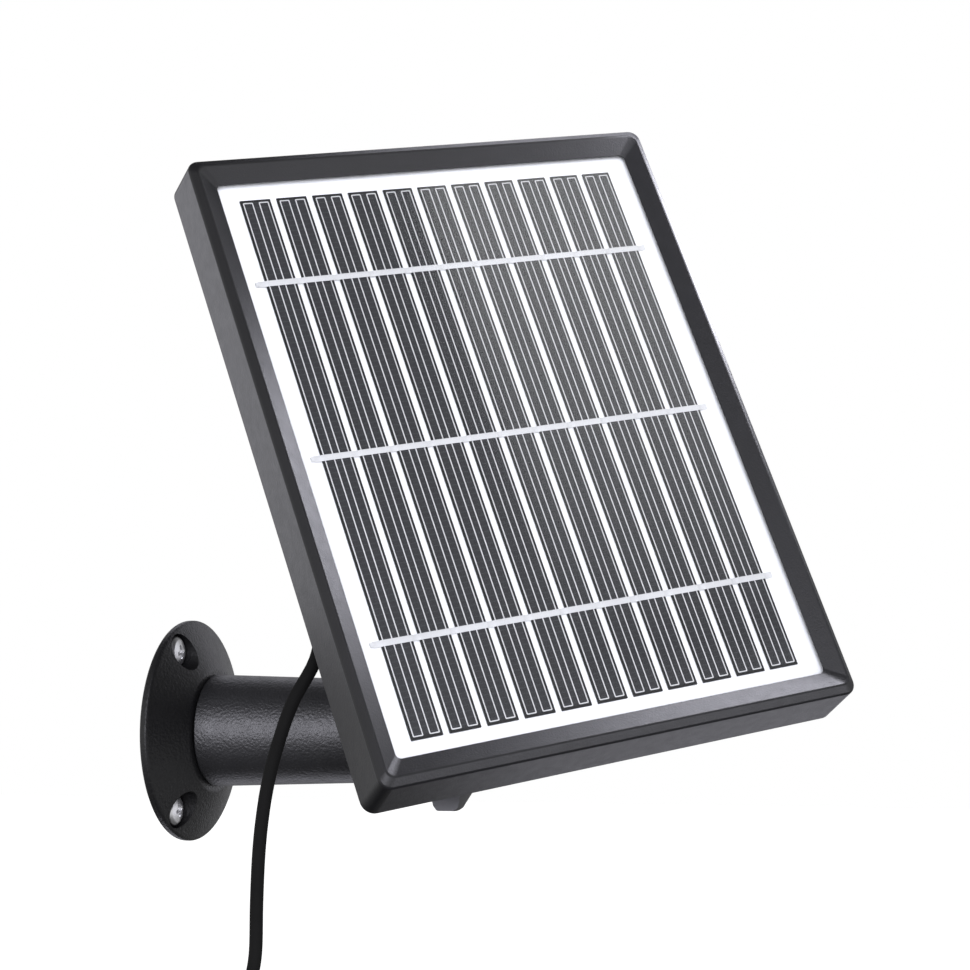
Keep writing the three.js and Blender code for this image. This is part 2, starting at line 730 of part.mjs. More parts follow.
function plugBodyGeometry() {
  const gripHalf = [5.6, 3.8];
  const gripStart = -12;
  return loft([
    roundedLoop(2.3, 2.3, 2.2, 0),
    roundedLoop(3, 2.9, 2.6, gripStart + 3),
    roundedLoop(...gripHalf, 3, gripStart),
    roundedLoop(...gripHalf, 3, PLUG_FACE + 1),
    roundedLoop(5.2, 3.4, 2.8, PLUG_FACE),
  ]);
}

// ---- assembly: the bracket ----
const group = new THREE.Group();

const bracket = new THREE.Group();
bracket.rotation.x = Math.PI / 2;
group.add(bracket);

node(bracket, 'wall_flange', flangeGeometry(), BRACKET);
['wall_screw_upper', 'wall_screw_lower', 'wall_screw_far'].forEach((name, i) => {
  const screw = node(bracket, name, wallScrewGeometry(), ZINC);
  const angle = radians(SCREW_ANGLES[i]);
  screw.position.set(SCREW_CIRCLE_R * Math.cos(angle), SCREW_CIRCLE_R * Math.sin(angle), 0);
  screw.rotation.z = angle;
});
node(bracket, 'arm_tube', armTubeGeometry(), BRACKET);
node(bracket, 'centre_bolt', centreBoltGeometry(), STEEL);
node(bracket, 'centre_washer', centreWasherGeometry(), STEEL);
node(bracket, 'socket_cup', socketCupGeometry(), PLASTIC_LINER);
node(bracket, 'lock_ring', lockRingGeometry(), GRIP);

// ---- assembly: the panel, turned about the middle of the ball ----
const pan = new THREE.Group();
pan.position.set(0, -BALL_AT, 0);
pan.rotation.z = radians(-PAN);
group.add(pan);
const tilt = new THREE.Group();
tilt.rotation.x = radians(90 - TILT);
pan.add(tilt);
const roll = new THREE.Group();
roll.rotation.z = radians(ROLL);
tilt.add(roll);

// The stud's own frame: the ball's middle is the origin and +Z points to the panel.
const stud = new THREE.Group();
roll.add(stud);

node(stud, 'pivot_ball', new THREE.SphereGeometry(BALL_R, 24, 14), GRIP);
node(stud, 'ball_stud', studGeometry(), STEEL);
node(stud, 'stud_lock_nut', lockNutGeometry(), ZINC);

const panel = new THREE.Group();
panel.position.set(-BALL_X, -BALL_Y, -BALL_Z);
roll.add(panel);

node(panel, 'front_frame', frontFrameGeometry(), HOUSING);
node(panel, 'rear_cover', rearCoverGeometry(), HOUSING);
node(panel, 'cover_sheet', roundedPlate(...SHEET, 1.2, COVER_TOP - COVER_THICKNESS, COVER_TOP), CLEAR_SHEET);
node(panel, 'backsheet', roundedPlate(
  ...SHEET, 1.2, BACKSHEET_TOP - BACKSHEET_THICKNESS, BACKSHEET_TOP,
), WHITE_SHEET);
node(panel, 'panel_seal', roundedFrame([60.2, 80.2], [57, 77], 3, -4.3, -3.3), FOAM);

for (let i = 0; i < STRIP_COUNT; i += 1) {
  const x = stripPlace(i);
  const strip = block(
    x - STRIP_WIDTH / 2, x + STRIP_WIDTH / 2, -STRIP_LENGTH / 2, STRIP_LENGTH / 2,
    CELL_TOP - CELL_THICKNESS, CELL_TOP,
  );
  node(panel, `cell_strip_${String(i + 1).padStart(2, '0')}`, strip, SILICON);
}
for (let i = 0; i < 3; i += 1) {
  const y = (1 - i) * RIBBON_PITCH;
  const reach = ribbonHalfLength();
  const ribbon = block(
    -reach, reach, y - RIBBON_WIDTH / 2, y + RIBBON_WIDTH / 2,
    RIBBON_TOP - RIBBON_THICKNESS, RIBBON_TOP,
  );
  node(panel, `bus_ribbon_${i + 1}`, ribbon, TINNED);
}

coverScrewPlaces().forEach(([x, y], i) => {
  node(panel, `cover_screw_${i + 1}`, coverScrewGeometry().translate(x, y, 0), ZINC);
});
node(panel, 'threaded_insert_left', insertGeometry().translate(-INSERT_X, BALL_Y, 0), BRASS);
node(panel, 'threaded_insert_right', insertGeometry().translate(INSERT_X, BALL_Y, 0), BRASS);

node(panel, 'junction_box', junctionBoxGeometry(), HOUSING);
node(panel, 'box_gasket', boxGasketGeometry(), RUBBER);
node(panel, 'box_lid', boxLidGeometry(), HOUSING);
boxScrewPlaces().forEach(([x, y], i) => {
  node(panel, `lid_screw_${i + 1}`, boxScrewGeometry().translate(x, y + BOX_Y, 0), ZINC);
});
node(panel, 'circuit_board', block(
  -11.5, 11.5, BOX_Y - 13, BOX_Y + 13, BOARD_FACE, BOARD_FACE + BOARD_THICKNESS,
), BOARD);
node(panel, 'blocking_diode', diodeGeometry().translate(2, BOX_Y + 6, BOARD_FACE - 1.7), RUBBER);
node(panel, 'terminal_block', block(
  -8, 0, BOX_Y - 9, BOX_Y - 3, BOARD_FACE - 3.6, BOARD_FACE - GAP,
), BOARD);

const gland = new THREE.Group();
gland.position.set(-BOX[0] - BOX_DRAFT, BOX_Y, GLAND_Z);
gland.rotation.y = -Math.PI / 2;
panel.add(gland);
node(gland, 'gland_body', glandBodyGeometry(), RUBBER);
node(gland, 'gland_nut', glandNutGeometry(), RUBBER);
node(gland, 'strain_relief', strainReliefGeometry(), RUBBER);

// ---- assembly: the free cord, its coil and its plug ----
node(group, 'cord_lead', cordTube(LEAD_POINTS, 8), CABLE);
const coil = turnedRing([
  [COIL_INNER_R, -COIL_HALF_WIDTH], [COIL_OUTER_R, -COIL_HALF_WIDTH],
  [COIL_OUTER_R, COIL_HALF_WIDTH], [COIL_INNER_R, COIL_HALF_WIDTH],
], 32);
node(group, 'cord_coil', coil.rotateX(Math.PI / 2).translate(COIL_X, COIL_Y, COIL_Z), CABLE);

const tie = new THREE.Group();
tie.position.set(COIL_X, COIL_Y, COIL_Z);
tie.rotation.y = radians(-50);
group.add(tie);
const tieInside = [(COIL_OUTER_R - COIL_INNER_R) / 2 + 0.75, COIL_HALF_WIDTH + GAP];
node(tie, 'coil_tie', roundedFrame(
  [tieInside[0] + TIE_THICKNESS, tieInside[1] + TIE_THICKNESS], tieInside, 1.8, -3, 3,
).translate((COIL_OUTER_R + COIL_INNER_R) / 2, 0, 0), RUBBER);

node(group, 'cord_tail', cordTube(TAIL_POINTS, 10), CABLE);
const plug = new THREE.Group();
plug.position.set(PLUG_X, TAIL_Y, PLUG_TOP);
group.add(plug);
node(plug, 'plug_body', plugBodyGeometry(), RUBBER);
node(plug, 'plug_shell', roundedPlate(3.4, 0.95, 0.6, PLUG_TIP, PLUG_FACE - GAP), STEEL);
node(plug, 'plug_seal', roundedFrame(
  [6.3, 4.6], [5.6 + GAP, 3.8 + GAP], 3.6, PLUG_FACE + 2.4, PLUG_FACE + 4.6,
), RUBBER);

export default group;
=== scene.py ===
"""Looks of a solar charging panel that hangs on a wall bracket with a ball joint.

Metres, +Z up. The wall is the plane y = 0 and the arm points along -Y. Sizes are written in
millimetres and turned into metres where a mesh is made.
"""
import json
import math

import bmesh
import bpy
from mathutils import Matrix, Vector

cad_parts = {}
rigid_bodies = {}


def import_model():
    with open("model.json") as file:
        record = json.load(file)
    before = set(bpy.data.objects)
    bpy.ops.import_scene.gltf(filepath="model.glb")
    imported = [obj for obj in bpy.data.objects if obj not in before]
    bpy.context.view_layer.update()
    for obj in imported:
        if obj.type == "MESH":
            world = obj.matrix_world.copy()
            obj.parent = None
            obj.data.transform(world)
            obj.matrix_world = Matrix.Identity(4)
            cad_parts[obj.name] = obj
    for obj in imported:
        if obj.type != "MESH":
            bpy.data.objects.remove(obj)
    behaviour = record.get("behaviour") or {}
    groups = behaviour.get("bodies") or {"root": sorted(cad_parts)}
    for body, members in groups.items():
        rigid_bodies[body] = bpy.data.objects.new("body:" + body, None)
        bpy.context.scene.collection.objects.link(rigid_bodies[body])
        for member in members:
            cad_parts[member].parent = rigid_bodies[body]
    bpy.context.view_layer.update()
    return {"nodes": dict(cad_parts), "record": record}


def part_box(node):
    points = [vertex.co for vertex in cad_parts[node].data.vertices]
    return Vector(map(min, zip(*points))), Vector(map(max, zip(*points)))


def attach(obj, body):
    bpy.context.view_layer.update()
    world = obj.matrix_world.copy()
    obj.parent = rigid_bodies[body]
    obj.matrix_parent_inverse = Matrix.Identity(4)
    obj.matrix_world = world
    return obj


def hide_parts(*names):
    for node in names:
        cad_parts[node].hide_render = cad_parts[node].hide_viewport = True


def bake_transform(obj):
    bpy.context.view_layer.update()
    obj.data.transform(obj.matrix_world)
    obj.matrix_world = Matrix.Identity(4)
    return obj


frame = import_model()

MM = 0.001
CAD_NODES = frame["nodes"]
RECORD = frame["record"]

# ---- driving sizes, in millimetres unless a comment says otherwise ----
CAMERA_PLACE = (-0.59514, -0.28355, 0.00863)  # metres
CAMERA_AIM = (0.94613, 0.3101, 0.0932)
CAMERA_LENS = 85.06
SENSOR = 36.0

BALL_AT = 91.5
BALL_R = 12.0
FLANGE_R = 31.0
FLANGE_RIM = 2.3
FLANGE_TOP = 8.6
ARM_ROOT_R = 16.05
ARM_TIP_R = 13.6
ARM_TIP = 74.0
ARM_THREAD_END = 83.0
GAP = 0.3
LOBE_COUNT = 8
LOBE_HOLLOW_R = 7.5
LOBE_HOLLOW_AT = 25.1
LOBE_END = 84.0
SCREW_CIRCLE_R = 25.2
WALL_SCREWS = {"wall_screw_upper": 120, "wall_screw_lower": 240, "wall_screw_far": 0}  # degrees
SCREW_HOLE_R = 2.4
SCREW_POCKET_R = 5.1
SCREW_POCKET_FLOOR = 1.0
SCREW_SEAT = 1.3
SCREW_SHANK_R = 2.0
SCREW_HEAD_R = 4.3
SCREW_LENGTH = 2.0

OPENING = (63.25, 82.25)
BODY = (70.15, 89.6)
BODY_FLARE = 1.2
BACK_Z = -13.5
CREST_Z = 3.05
LIP_Z = 0.35
CELL_TOP = -1.1
CELL_THICKNESS = 0.3
STRIP_COUNT = 11
STRIP_PITCH = 10.59
STRIP_WIDTH = 8.8
STRIP_LENGTH = 156.0
RIBBON_PITCH = 52.0
RIBBON_WIDTH = 1.7
RIBBON_END = 2.2
RIBBON_TOP = -0.65
COVER_FACE = -13.3
COVER_INSIDE = -11.5
COVER_SCREW_INSET = (5.5, 5.0)
INSERT_X = 11.15
PAD_FACE = -19.5
BALL_Y = -66.45
BALL_Z = -47.55
BOX_HALF = (20.0, 16.0)
BOX_DRAFT = 0.6
BOX_Y = -8.0
GLAND_Z = -18.2
CORD_EXIT_X = -42.0

CORD_R = 1.75
LEAD_POINTS = (
    (-33.05, -65.8, 58.95), (-36.3, -62.6, 57.6), (-39.6, -60.9, 52.8), (-42.4, -60.4, 45),
    (-45.2, -60.1, 35), (-47.2, -59.7, 26.5), (-48.4, -58.6, 18.8), (-49.3, -52.9, 8.2),
    (-49.5, -49.2, -1.6), (-49.3, -46.1, -12.5), (-49, -44.5, -21), (-48.6, -43.4, -30),
    (-48.2, -42.7, -43), (-48, -42.4, -56), (-48, -41.6, -61), (-47.95, -39.9, -66),
    (-47, -38.5, -70.1), (-45, -37.55, -72.8), (-42, -37.15, -74.5),
)
COIL_MIDDLE = (-39.0, -42.4, -103.0)
COIL_RADII = (28.0, 24.5, 21.0, 17.5, 14.0)  # outermost layer first
COIL_COLUMNS = (5.25, 1.75, -1.75, -5.25)  # offsets along Y, the one next to the wall first
POINTS_PER_TURN = 28
CROSSING = 0.84  # share of a turn after which the lead moves over to the next place
TAIL_POINTS = (
    (-25, -51.8, -111), (-25, -51.8, -124), (-24.8, -51.8, -137), (-24.8, -51.8, -150),
)
TAIL_Y = -51.8
PLUG_X = -24.8
PLUG_TOP = -150.3

# ---- camera ----
camera_data = bpy.data.cameras.new("camera")
camera_data.lens = CAMERA_LENS
camera_data.sensor_width = SENSOR
camera = bpy.data.objects.new("camera", camera_data)
camera.location = CAMERA_PLACE
camera.rotation_mode = "QUATERNION"
camera.rotation_quaternion = Vector(CAMERA_AIM).to_track_quat("-Z", "Y")
bpy.context.scene.collection.objects.link(camera)
bpy.context.scene.camera = camera


# ---- materials ----
def blank_material(name):
    material = bpy.data.materials.new(name)
    material.use_nodes = True
    tree = material.node_tree
    tree.nodes.clear()
    output = tree.nodes.new("ShaderNodeOutputMaterial")
    return material, tree, output


def principled(tree, output, roughness, metallic=0.0, specular=0.5):
    shader = tree.nodes.new("ShaderNodeBsdfPrincipled")
    shader.inputs["Roughness"].default_value = roughness
    shader.inputs["Metallic"].default_value = metallic
    shader.inputs["Specular IOR Level"].default_value = specular
    tree.links.new(shader.outputs["BSDF"], output.inputs["Surface"])
    return shader


def noise(tree, scale, detail=3.0, stretch=(1, 1, 1)):
    coordinates = tree.nodes.new("ShaderNodeTexCoord")
    mapping = tree.nodes.new("ShaderNodeMapping")
    mapping.inputs["Scale"].default_value = stretch
    texture = tree.nodes.new("ShaderNodeTexNoise")
    texture.inputs["Scale"].default_value = scale
    texture.inputs["Detail"].default_value = detail
    tree.links.new(coordinates.outputs["Object"], mapping.inputs["Vector"])
    tree.links.new(mapping.outputs["Vector"], texture.inputs["Vector"])
    return texture.outputs["Fac"]


def two_tone(tree, factor, low, high, start=0.3, end=0.7):
    ramp = tree.nodes.new("ShaderNodeValToRGB")
    ramp.color_ramp.elements[0].position = start
    ramp.color_ramp.elements[0].color = (*low, 1)
    ramp.color_ramp.elements[1].position = end
    ramp.color_ramp.elements[1].color = (*high, 1)
    tree.links.new(factor, ramp.inputs["Fac"])
    return ramp.outputs["Color"]


def spread_over(tree, factor, low, high):
    span = tree.nodes.new("ShaderNodeMapRange")
    span.inputs["From Min"].default_value = 0.3
    span.inputs["From Max"].default_value = 0.7
    span.inputs["To Min"].default_value = low
    span.inputs["To Max"].default_value = high
    tree.links.new(factor, span.inputs["Value"])
    return span.outputs["Result"]


def add_bump(tree, shader, factor, strength, depth_mm):
    bump = tree.nodes.new("ShaderNodeBump")
    bump.inputs["Strength"].default_value = strength
    bump.inputs["Distance"].default_value = depth_mm * MM
    tree.links.new(factor, bump.inputs["Height"])
    tree.links.new(bump.outputs["Normal"], shader.inputs["Normal"])


def surface(name, color, roughness, tone=0.12, patch=45, grain=2400, bump=0.3, depth=0.03,
            metallic=0.0, specular=0.5, stretch=(1, 1, 1)):
    """A surface with soft patches of tone, uneven roughness and a fine grain."""
    material, tree, output = blank_material(name)
    shader = principled(tree, output, roughness, metallic, specular)
    low = tuple(c * (1 - tone) for c in color)
    high = tuple(min(c * (1 + tone), 1) for c in color)
    tree.links.new(two_tone(tree, noise(tree, patch), low, high), shader.inputs["Base Color"])
    rough = spread_over(tree, noise(tree, grain / 5, 2.0, stretch), roughness - 0.02, roughness + 0.03)
    tree.links.new(rough, shader.inputs["Roughness"])
    add_bump(tree, shader, noise(tree, grain, 3.0, stretch), bump, depth)
    return material


def maths(tree, operation, first, second=None):
    """The result of a maths node; each input is a number or another node's output."""
    step = tree.nodes.new("ShaderNodeMath")
    step.operation = operation
    for socket, value in zip(step.inputs, (first, second)):
        if isinstance(value, (int, float)):
            socket.default_value = value
        elif value is not None:
            tree.links.new(value, socket)
    return step.outputs["Value"]


def color_where(tree, factor, base, color):
    """The base colour, with another colour where the factor is 1."""
    mix = tree.nodes.new("ShaderNodeMix")
    mix.data_type = "RGBA"
    tree.links.new(factor, mix.inputs["Factor"])
    tree.links.new(base, mix.inputs[6])
    mix.inputs[7].default_value = (*color, 1)
    return mix.outputs[2]


def silicon_material():
    """Dark silicon: a black margin round the printed area, and fine fingers across it."""
    margin = 0.75
    finger_pitch = 1.6
    finger_level = 0.9  # a finger shows where a sine wave along the strip is above this
    material, tree, output = blank_material("silicon")
    shader = principled(tree, output, 0.38, specular=0.35)
    uv = tree.nodes.new("ShaderNodeUVMap")
    uv.uv_map = "strip"
    parts = tree.nodes.new("ShaderNodeSeparateXYZ")
    tree.links.new(uv.outputs["UV"], parts.inputs["Vector"])
    across = maths(tree, "ABSOLUTE", parts.outputs["X"])
    along = maths(tree, "ABSOLUTE", parts.outputs["Y"])
    beside = maths(tree, "GREATER_THAN", across, STRIP_WIDTH / 2 - margin)
    beyond = maths(tree, "GREATER_THAN", along, STRIP_LENGTH / 2 - margin)
    outside = maths(tree, "MAXIMUM", beside, beyond)
    wave = maths(tree, "SINE", maths(tree, "MULTIPLY", parts.outputs["Y"], 2 * math.pi / finger_pitch))
    crest = maths(tree, "GREATER_THAN", wave, finger_level)
    finger = maths(tree, "MULTIPLY", crest, maths(tree, "SUBTRACT", 1.0, outside))
    tone = two_tone(tree, noise(tree, 900, 4.0), (0.018, 0.018, 0.0205), (0.023, 0.023, 0.026))
    printed = color_where(tree, finger, tone, (0.036, 0.036, 0.04))
    color = color_where(tree, outside, printed, (0.006, 0.006, 0.007))
    tree.links.new(color, shader.inputs["Base Color"])
    add_bump(tree, shader, noise(tree, 5200, 2.0), 0.15, 0.008)
    return material


def clear_material():
    """A clear sheet: see-through, with a mirror that grows towards glancing angles."""
    square_on = 0.04  # share that is mirrored when the sheet is seen square on
    material, tree, output = blank_material("clear_sheet")
    through = tree.nodes.new("ShaderNodeBsdfTransparent")
    through.inputs["Color"].default_value = (0.985, 0.99, 0.99, 1)
    mirror = tree.nodes.new("ShaderNodeBsdfGlossy")
    mirror.inputs["Roughness"].default_value = 0.09
    weight = tree.nodes.new("ShaderNodeLayerWeight")
    steep = maths(tree, "POWER", weight.outputs["Facing"], 5)
    mirrored = maths(tree, "ADD", maths(tree, "MULTIPLY", steep, 1 - square_on), square_on)
    mix = tree.nodes.new("ShaderNodeMixShader")
    tree.links.new(mirrored, mix.inputs["Fac"])
    tree.links.new(through.outputs["BSDF"], mix.inputs[1])
    tree.links.new(mirror.outputs["BSDF"], mix.inputs[2])
    tree.links.new(mix.outputs["Shader"], output.inputs["Surface"])
    return material


MATERIALS = {
    "bracket_plastic": surface("bracket_plastic", (0.0105, 0.0105, 0.0115), 0.42, grain=1300, bump=1.0,
                               depth=0.2),
    "housing_plastic": surface("housing_plastic", (0.0125, 0.0125, 0.0145), 0.36, grain=1900, bump=0.7,
                               depth=0.07),
    "grip_plastic": surface("grip_plastic", (0.085, 0.085, 0.09), 0.5, grain=2600, bump=0.35),
    "liner_plastic": surface("liner_plastic", (0.62, 0.61, 0.57), 0.5, tone=0.05, bump=0.15),
    "zinc": surface("zinc", (0.80, 0.80, 0.81), 0.34, tone=0.06, grain=1500, bump=0.12, metallic=1.0),
    "steel": surface("steel", (0.58, 0.59, 0.60), 0.28, tone=0.06, grain=900, bump=0.15, metallic=1.0,
                     stretch=(1, 8, 1)),
    "brass": surface("brass", (0.70, 0.49, 0.20), 0.3, tone=0.08, grain=900, bump=0.15, metallic=1.0),
    "silicon": silicon_material(),
    "tinned_ribbon": surface("tinned_ribbon", (0.60, 0.60, 0.60), 0.45, tone=0.05, grain=1800, bump=0.2,
                             specular=0.8),
    "white_sheet": surface("white_sheet", (0.95, 0.95, 0.95), 0.5, tone=0.012, bump=0.08, depth=0.01),
    "clear_sheet": clear_material(),
    "foam": surface("foam", (0.02, 0.02, 0.02), 0.9, grain=1400, bump=0.8, depth=0.1),
    "board": surface("board", (0.02, 0.11, 0.05), 0.3, patch=300, bump=0.15),
    "rubber": surface("rubber", (0.017, 0.017, 0.018), 0.62, grain=2600, bump=0.4),
    "cable_jacket": surface("cable_jacket", (0.0105, 0.0105, 0.0105), 0.75, tone=0.15, grain=2200, bump=0.35,
                            specular=0.14),
}


# ---- mesh helpers ----
def soften(points, size, steps=4, is_closed=False):
    """Replaces each corner of an outline by a short curve; the points can have any number of parts."""
    count = len(points)
    softened = []
    for i, corner in enumerate(points):
        if not is_closed and i in (0, count - 1):
            softened.append(tuple(corner))
            continue
        here = Vector(corner)
        back = Vector(points[i - 1]) - here
        ahead = Vector(points[(i + 1) % count]) - here
        start = here + back * min(size / max(back.length, 1e-9), 0.45)
        end = here + ahead * min(size / max(ahead.length, 1e-9), 0.45)
        for step in range(steps + 1):
            t = step / steps
            softened.append(tuple(start * (1 - t) ** 2 + here * (2 * t * (1 - t)) + end * t ** 2))
    return softened


def skin(loops, is_ring):
    """Vertices and faces through equal loops: a ring of loops, or a solid with a cap at each end."""
    count = len(loops[0])
    vertices = [point for loop in loops for point in loop]
    faces = []
    for band in range(len(loops) if is_ring else len(loops) - 1):
        low = band * count
        high = (band + 1) % len(loops) * count
        for i in range(count):
            after = (i + 1) % count
            faces.append((low + i, low + after, high + after, high + i))
    if not is_ring:
        faces.append(tuple(range(count)))
        faces.append(tuple((len(loops) - 1) * count + i for i in range(count)))
    return vertices, faces


def turned(profile, segments=96, softness=0.25, is_ring=False):
    """A turned piece about +Z from (radius, height) pairs; a solid's pairs start and end on the axis."""
    outline = soften(profile, softness, is_closed=is_ring) if softness else profile
    if not is_ring:
        outline = [(radius, height) for radius, height in outline if radius > 1e-6]
    angles = [2 * math.pi * i / segments for i in range(segments)]
    loops = [
        [(radius * math.cos(angle), radius * math.sin(angle), height) for angle in angles]
        for radius, height in outline
    ]
    return skin(loops, is_ring)


def cylinder(radius, low, high, segments):
    return turned([(0, low), (radius, low), (radius, high), (0, high)], segments, 0)


def rounded_loop(half_x, half_y, radius, z, steps=8):
    loop = []
    for corner, (side_x, side_y) in enumerate(((1, 1), (-1, 1), (-1, -1), (1, -1))):
        for step in range(steps + 1):
            angle = (corner + step / steps) * math.pi / 2
            loop.append((
                side_x * (half_x - radius) + radius * math.cos(angle),
                side_y * (half_y - radius) + radius * math.sin(angle),
                z,
            ))
    return loop


def rounded(profile, softness=0.3, is_ring=False, steps=8):
    """A skin through rounded rectangles given as (half x, half y, corner radius, height)."""
    outline = soften(profile, softness, is_closed=is_ring) if softness else profile
    return skin([rounded_loop(*row, steps=steps) for row in outline], is_ring)


def moved(shape, matrix):
    vertices, faces = shape
    return [tuple(matrix @ Vector(v)) for v in vertices], faces


def merged(shapes):
    vertices, faces = [], []
    for more_vertices, more_faces in shapes:
        first = len(vertices)
        vertices.extend(more_vertices)
        faces.extend(tuple(first + i for i in face) for face in more_faces)
    return vertices, faces


def make_object(name, shape, matrix):
    """A closed mesh in the row frame from a shape in millimetres in its own frame."""
    vertices, faces = shape
    mesh = bpy.data.meshes.new(name)
    mesh.from_pydata([tuple(Vector(v) * MM) for v in vertices], [], faces)
    mesh.transform(matrix)
    work = bmesh.new()
    work.from_mesh(mesh)
    bmesh.ops.recalc_face_normals(work, faces=work.faces)
    work.to_mesh(mesh)
    work.free()
    made = bpy.data.objects.new(name, mesh)
    bpy.context.scene.collection.objects.link(made)
    return made


def boolean(target, shapes, matrix, operation):
    """Joins shapes to the target or cuts them away, and leaves the result in its mesh."""
    tools = []
    for i, shape in enumerate(shapes):
        tool = make_object(f"tool_{i}", shape, matrix)
        change = target.modifiers.new(f"change_{i}", "BOOLEAN")
        change.operation = operation
        change.solver = "EXACT"
        change.object = tool
        tools.append(tool)
    graph = bpy.context.evaluated_depsgraph_get()
    result = bpy.data.meshes.new_from_object(target.evaluated_get(graph))
    target.modifiers.clear()
    target.data = result
    for tool in tools:
        bpy.data.objects.remove(tool)


def smooth(target, sharp_degrees):
    """Smooth shading that stays crisp at real edges and level on wide faces."""
    for face in target.data.polygons:
        face.use_smooth = True
    target.data.set_sharp_from_angle(angle=math.radians(sharp_degrees))
    level = target.modifiers.new("level", "WEIGHTED_NORMAL")
    level.keep_sharp = True


def finish_piece(target, slot, body, stands_for=(), sharp_degrees=32):
    smooth(target, sharp_degrees)
    target.data.materials.clear()
    target.data.materials.append(MATERIALS[slot])
    if body:
        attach(target, body)
    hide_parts(*stands_for)
    return target


def bevel(target, width_mm, angle_degrees=35, segments=2):
    change = target.modifiers.new("edge", "BEVEL")
    change.width = width_mm * MM
    change.segments = segments
    change.limit_method = "ANGLE"
    change.angle_limit = math.radians(angle_degrees)


# ---- the frames that pieces are made in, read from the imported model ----
def middle(node):
    low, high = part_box(node)
    return (low + high) / 2


def shift(x, y, z):
    return Matrix.Translation((x, y, z))


def turn(degrees, axis):
    return Matrix.Rotation(math.radians(degrees), 4, axis)


panel_x = (middle("cell_strip_11") - middle("cell_strip_01")).normalized()
panel_y = (middle("bus_ribbon_1") - middle("bus_ribbon_3")).normalized()
panel_z = panel_x.cross(panel_y)
panel_turn = Matrix((panel_x, panel_y, panel_z)).transposed().to_4x4()
CELL_MIDDLE_Z = CELL_TOP - CELL_THICKNESS / 2
PANEL = Matrix.Translation(middle("cell_strip_06") - panel_z * CELL_MIDDLE_Z * MM) @ panel_turn
ARM = turn(90, "X")
STUD = Matrix.Translation(Vector((0, -BALL_AT * MM, 0))) @ panel_turn
GLAND = PANEL @ shift((-BOX_HALF[0] - BOX_DRAFT) * MM, BOX_Y * MM, GLAND_Z * MM) @ turn(-90, "Y")
PLUG = shift(PLUG_X * MM, TAIL_Y * MM, PLUG_TOP * MM)
ROW = Matrix.Identity(4)


# ---- the lead: one length from the strain relief, through the coil, to the plug ----
def smooth_curve(points, steps):
    """A centripetal Catmull-Rom curve through the points."""
    first = points[0] * 2 - points[1]
    last = points[-1] * 2 - points[-2]
    guide = [first, *points, last]
    line = []
    for i in range(1, len(guide) - 2):
        p0, p1, p2, p3 = guide[i - 1:i + 3]
        t1 = (p1 - p0).length ** 0.5
        t2 = t1 + (p2 - p1).length ** 0.5
        t3 = t2 + (p3 - p2).length ** 0.5
        for step in range(steps):
            t = t1 + (t2 - t1) * step / steps
            a1 = p0 * ((t1 - t) / t1) + p1 * (t / t1)
            a2 = p1 * ((t2 - t) / (t2 - t1)) + p2 * ((t - t1) / (t2 - t1))
            a3 = p2 * ((t3 - t) / (t3 - t2)) + p3 * ((t - t2) / (t3 - t2))
            b1 = a1 * ((t2 - t) / t2) + a2 * (t / t2)
            b2 = a2 * ((t3 - t) / (t3 - t1)) + a3 * ((t - t1) / (t3 - t1))
            line.append(b1 * ((t2 - t) / (t2 - t1)) + b2 * ((t - t1) / (t2 - t1)))
    line.append(points[-1].copy())
    return line


def coil_places():
    """(radius, offset along Y) of each turn: across a layer and back across the next."""
    places = []
    for layer, radius in enumerate(COIL_RADII):
        columns = COIL_COLUMNS if layer % 2 == 0 else COIL_COLUMNS[::-1]
        places.extend((radius, column) for column in columns)
    return places


def coil_points():
    """Clockwise turns as seen from the room, from the top of the outermost layer."""
    middle_x, middle_y, middle_z = COIL_MIDDLE
    places = coil_places()
    places.append((COIL_RADII[-1], TAIL_Y - middle_y))
    turns = len(places) - 0.75  # only a quarter of the last one
    points = []
    for i in range(round(turns * POINTS_PER_TURN) + 1):
        turn_number, share = divmod(i / POINTS_PER_TURN, 1)
        radius, offset = places[int(turn_number)]
        if share > CROSSING and turn_number + 1 < len(places):
            next_radius, next_offset = places[int(turn_number) + 1]
            t = (share - CROSSING) / (1 - CROSSING)
            t = t * t * (3 - 2 * t)
            radius += (next_radius - radius) * t
            offset += (next_offset - offset) * t
        angle = math.pi / 2 - 2 * math.pi * share
        points.append(Vector((
            middle_x + radius * math.cos(angle), middle_y + offset, middle_z + radius * math.sin(angle),
        )))
    return points


def cord_line():
    """The lead, the coil and the tail in one line; the curves take their end directions from the coil."""
    steps = 5
    coil = coil_points()
    lead = smooth_curve([*map(Vector, LEAD_POINTS), coil[0], coil[1]], steps)[:-steps]
    tail = smooth_curve([coil[-2], coil[-1], *map(Vector, TAIL_POINTS)], steps)[steps:]
    return lead[:-1] + coil + tail[1:]


def tube(line, radius, sides=12):
    """A round tube along a line, with rings that don't twist."""
    loops = []
    side = Vector((0, 1, 0))
    for i, point in enumerate(line):
        ahead = (line[min(i + 1, len(line) - 1)] - line[max(i - 1, 0)]).normalized()
        side = (side - ahead * side.dot(ahead)).normalized()
        other = ahead.cross(side)
        loops.append([
            tuple(point + (side * math.cos(a) + other * math.sin(a)) * radius)
            for a in (2 * math.pi * k / sides for k in range(sides))
        ])
    return skin(loops, False)


def make_cord():
    line = cord_line()
    cord = make_object("charging_lead", tube(line, CORD_R), ROW)
    finish_piece(cord, "cable_jacket", None, ("cord_lead", "cord_coil", "cord_tail"), 60)
    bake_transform(cord)
    return cord, line


charging_lead, lead_line = make_cord()


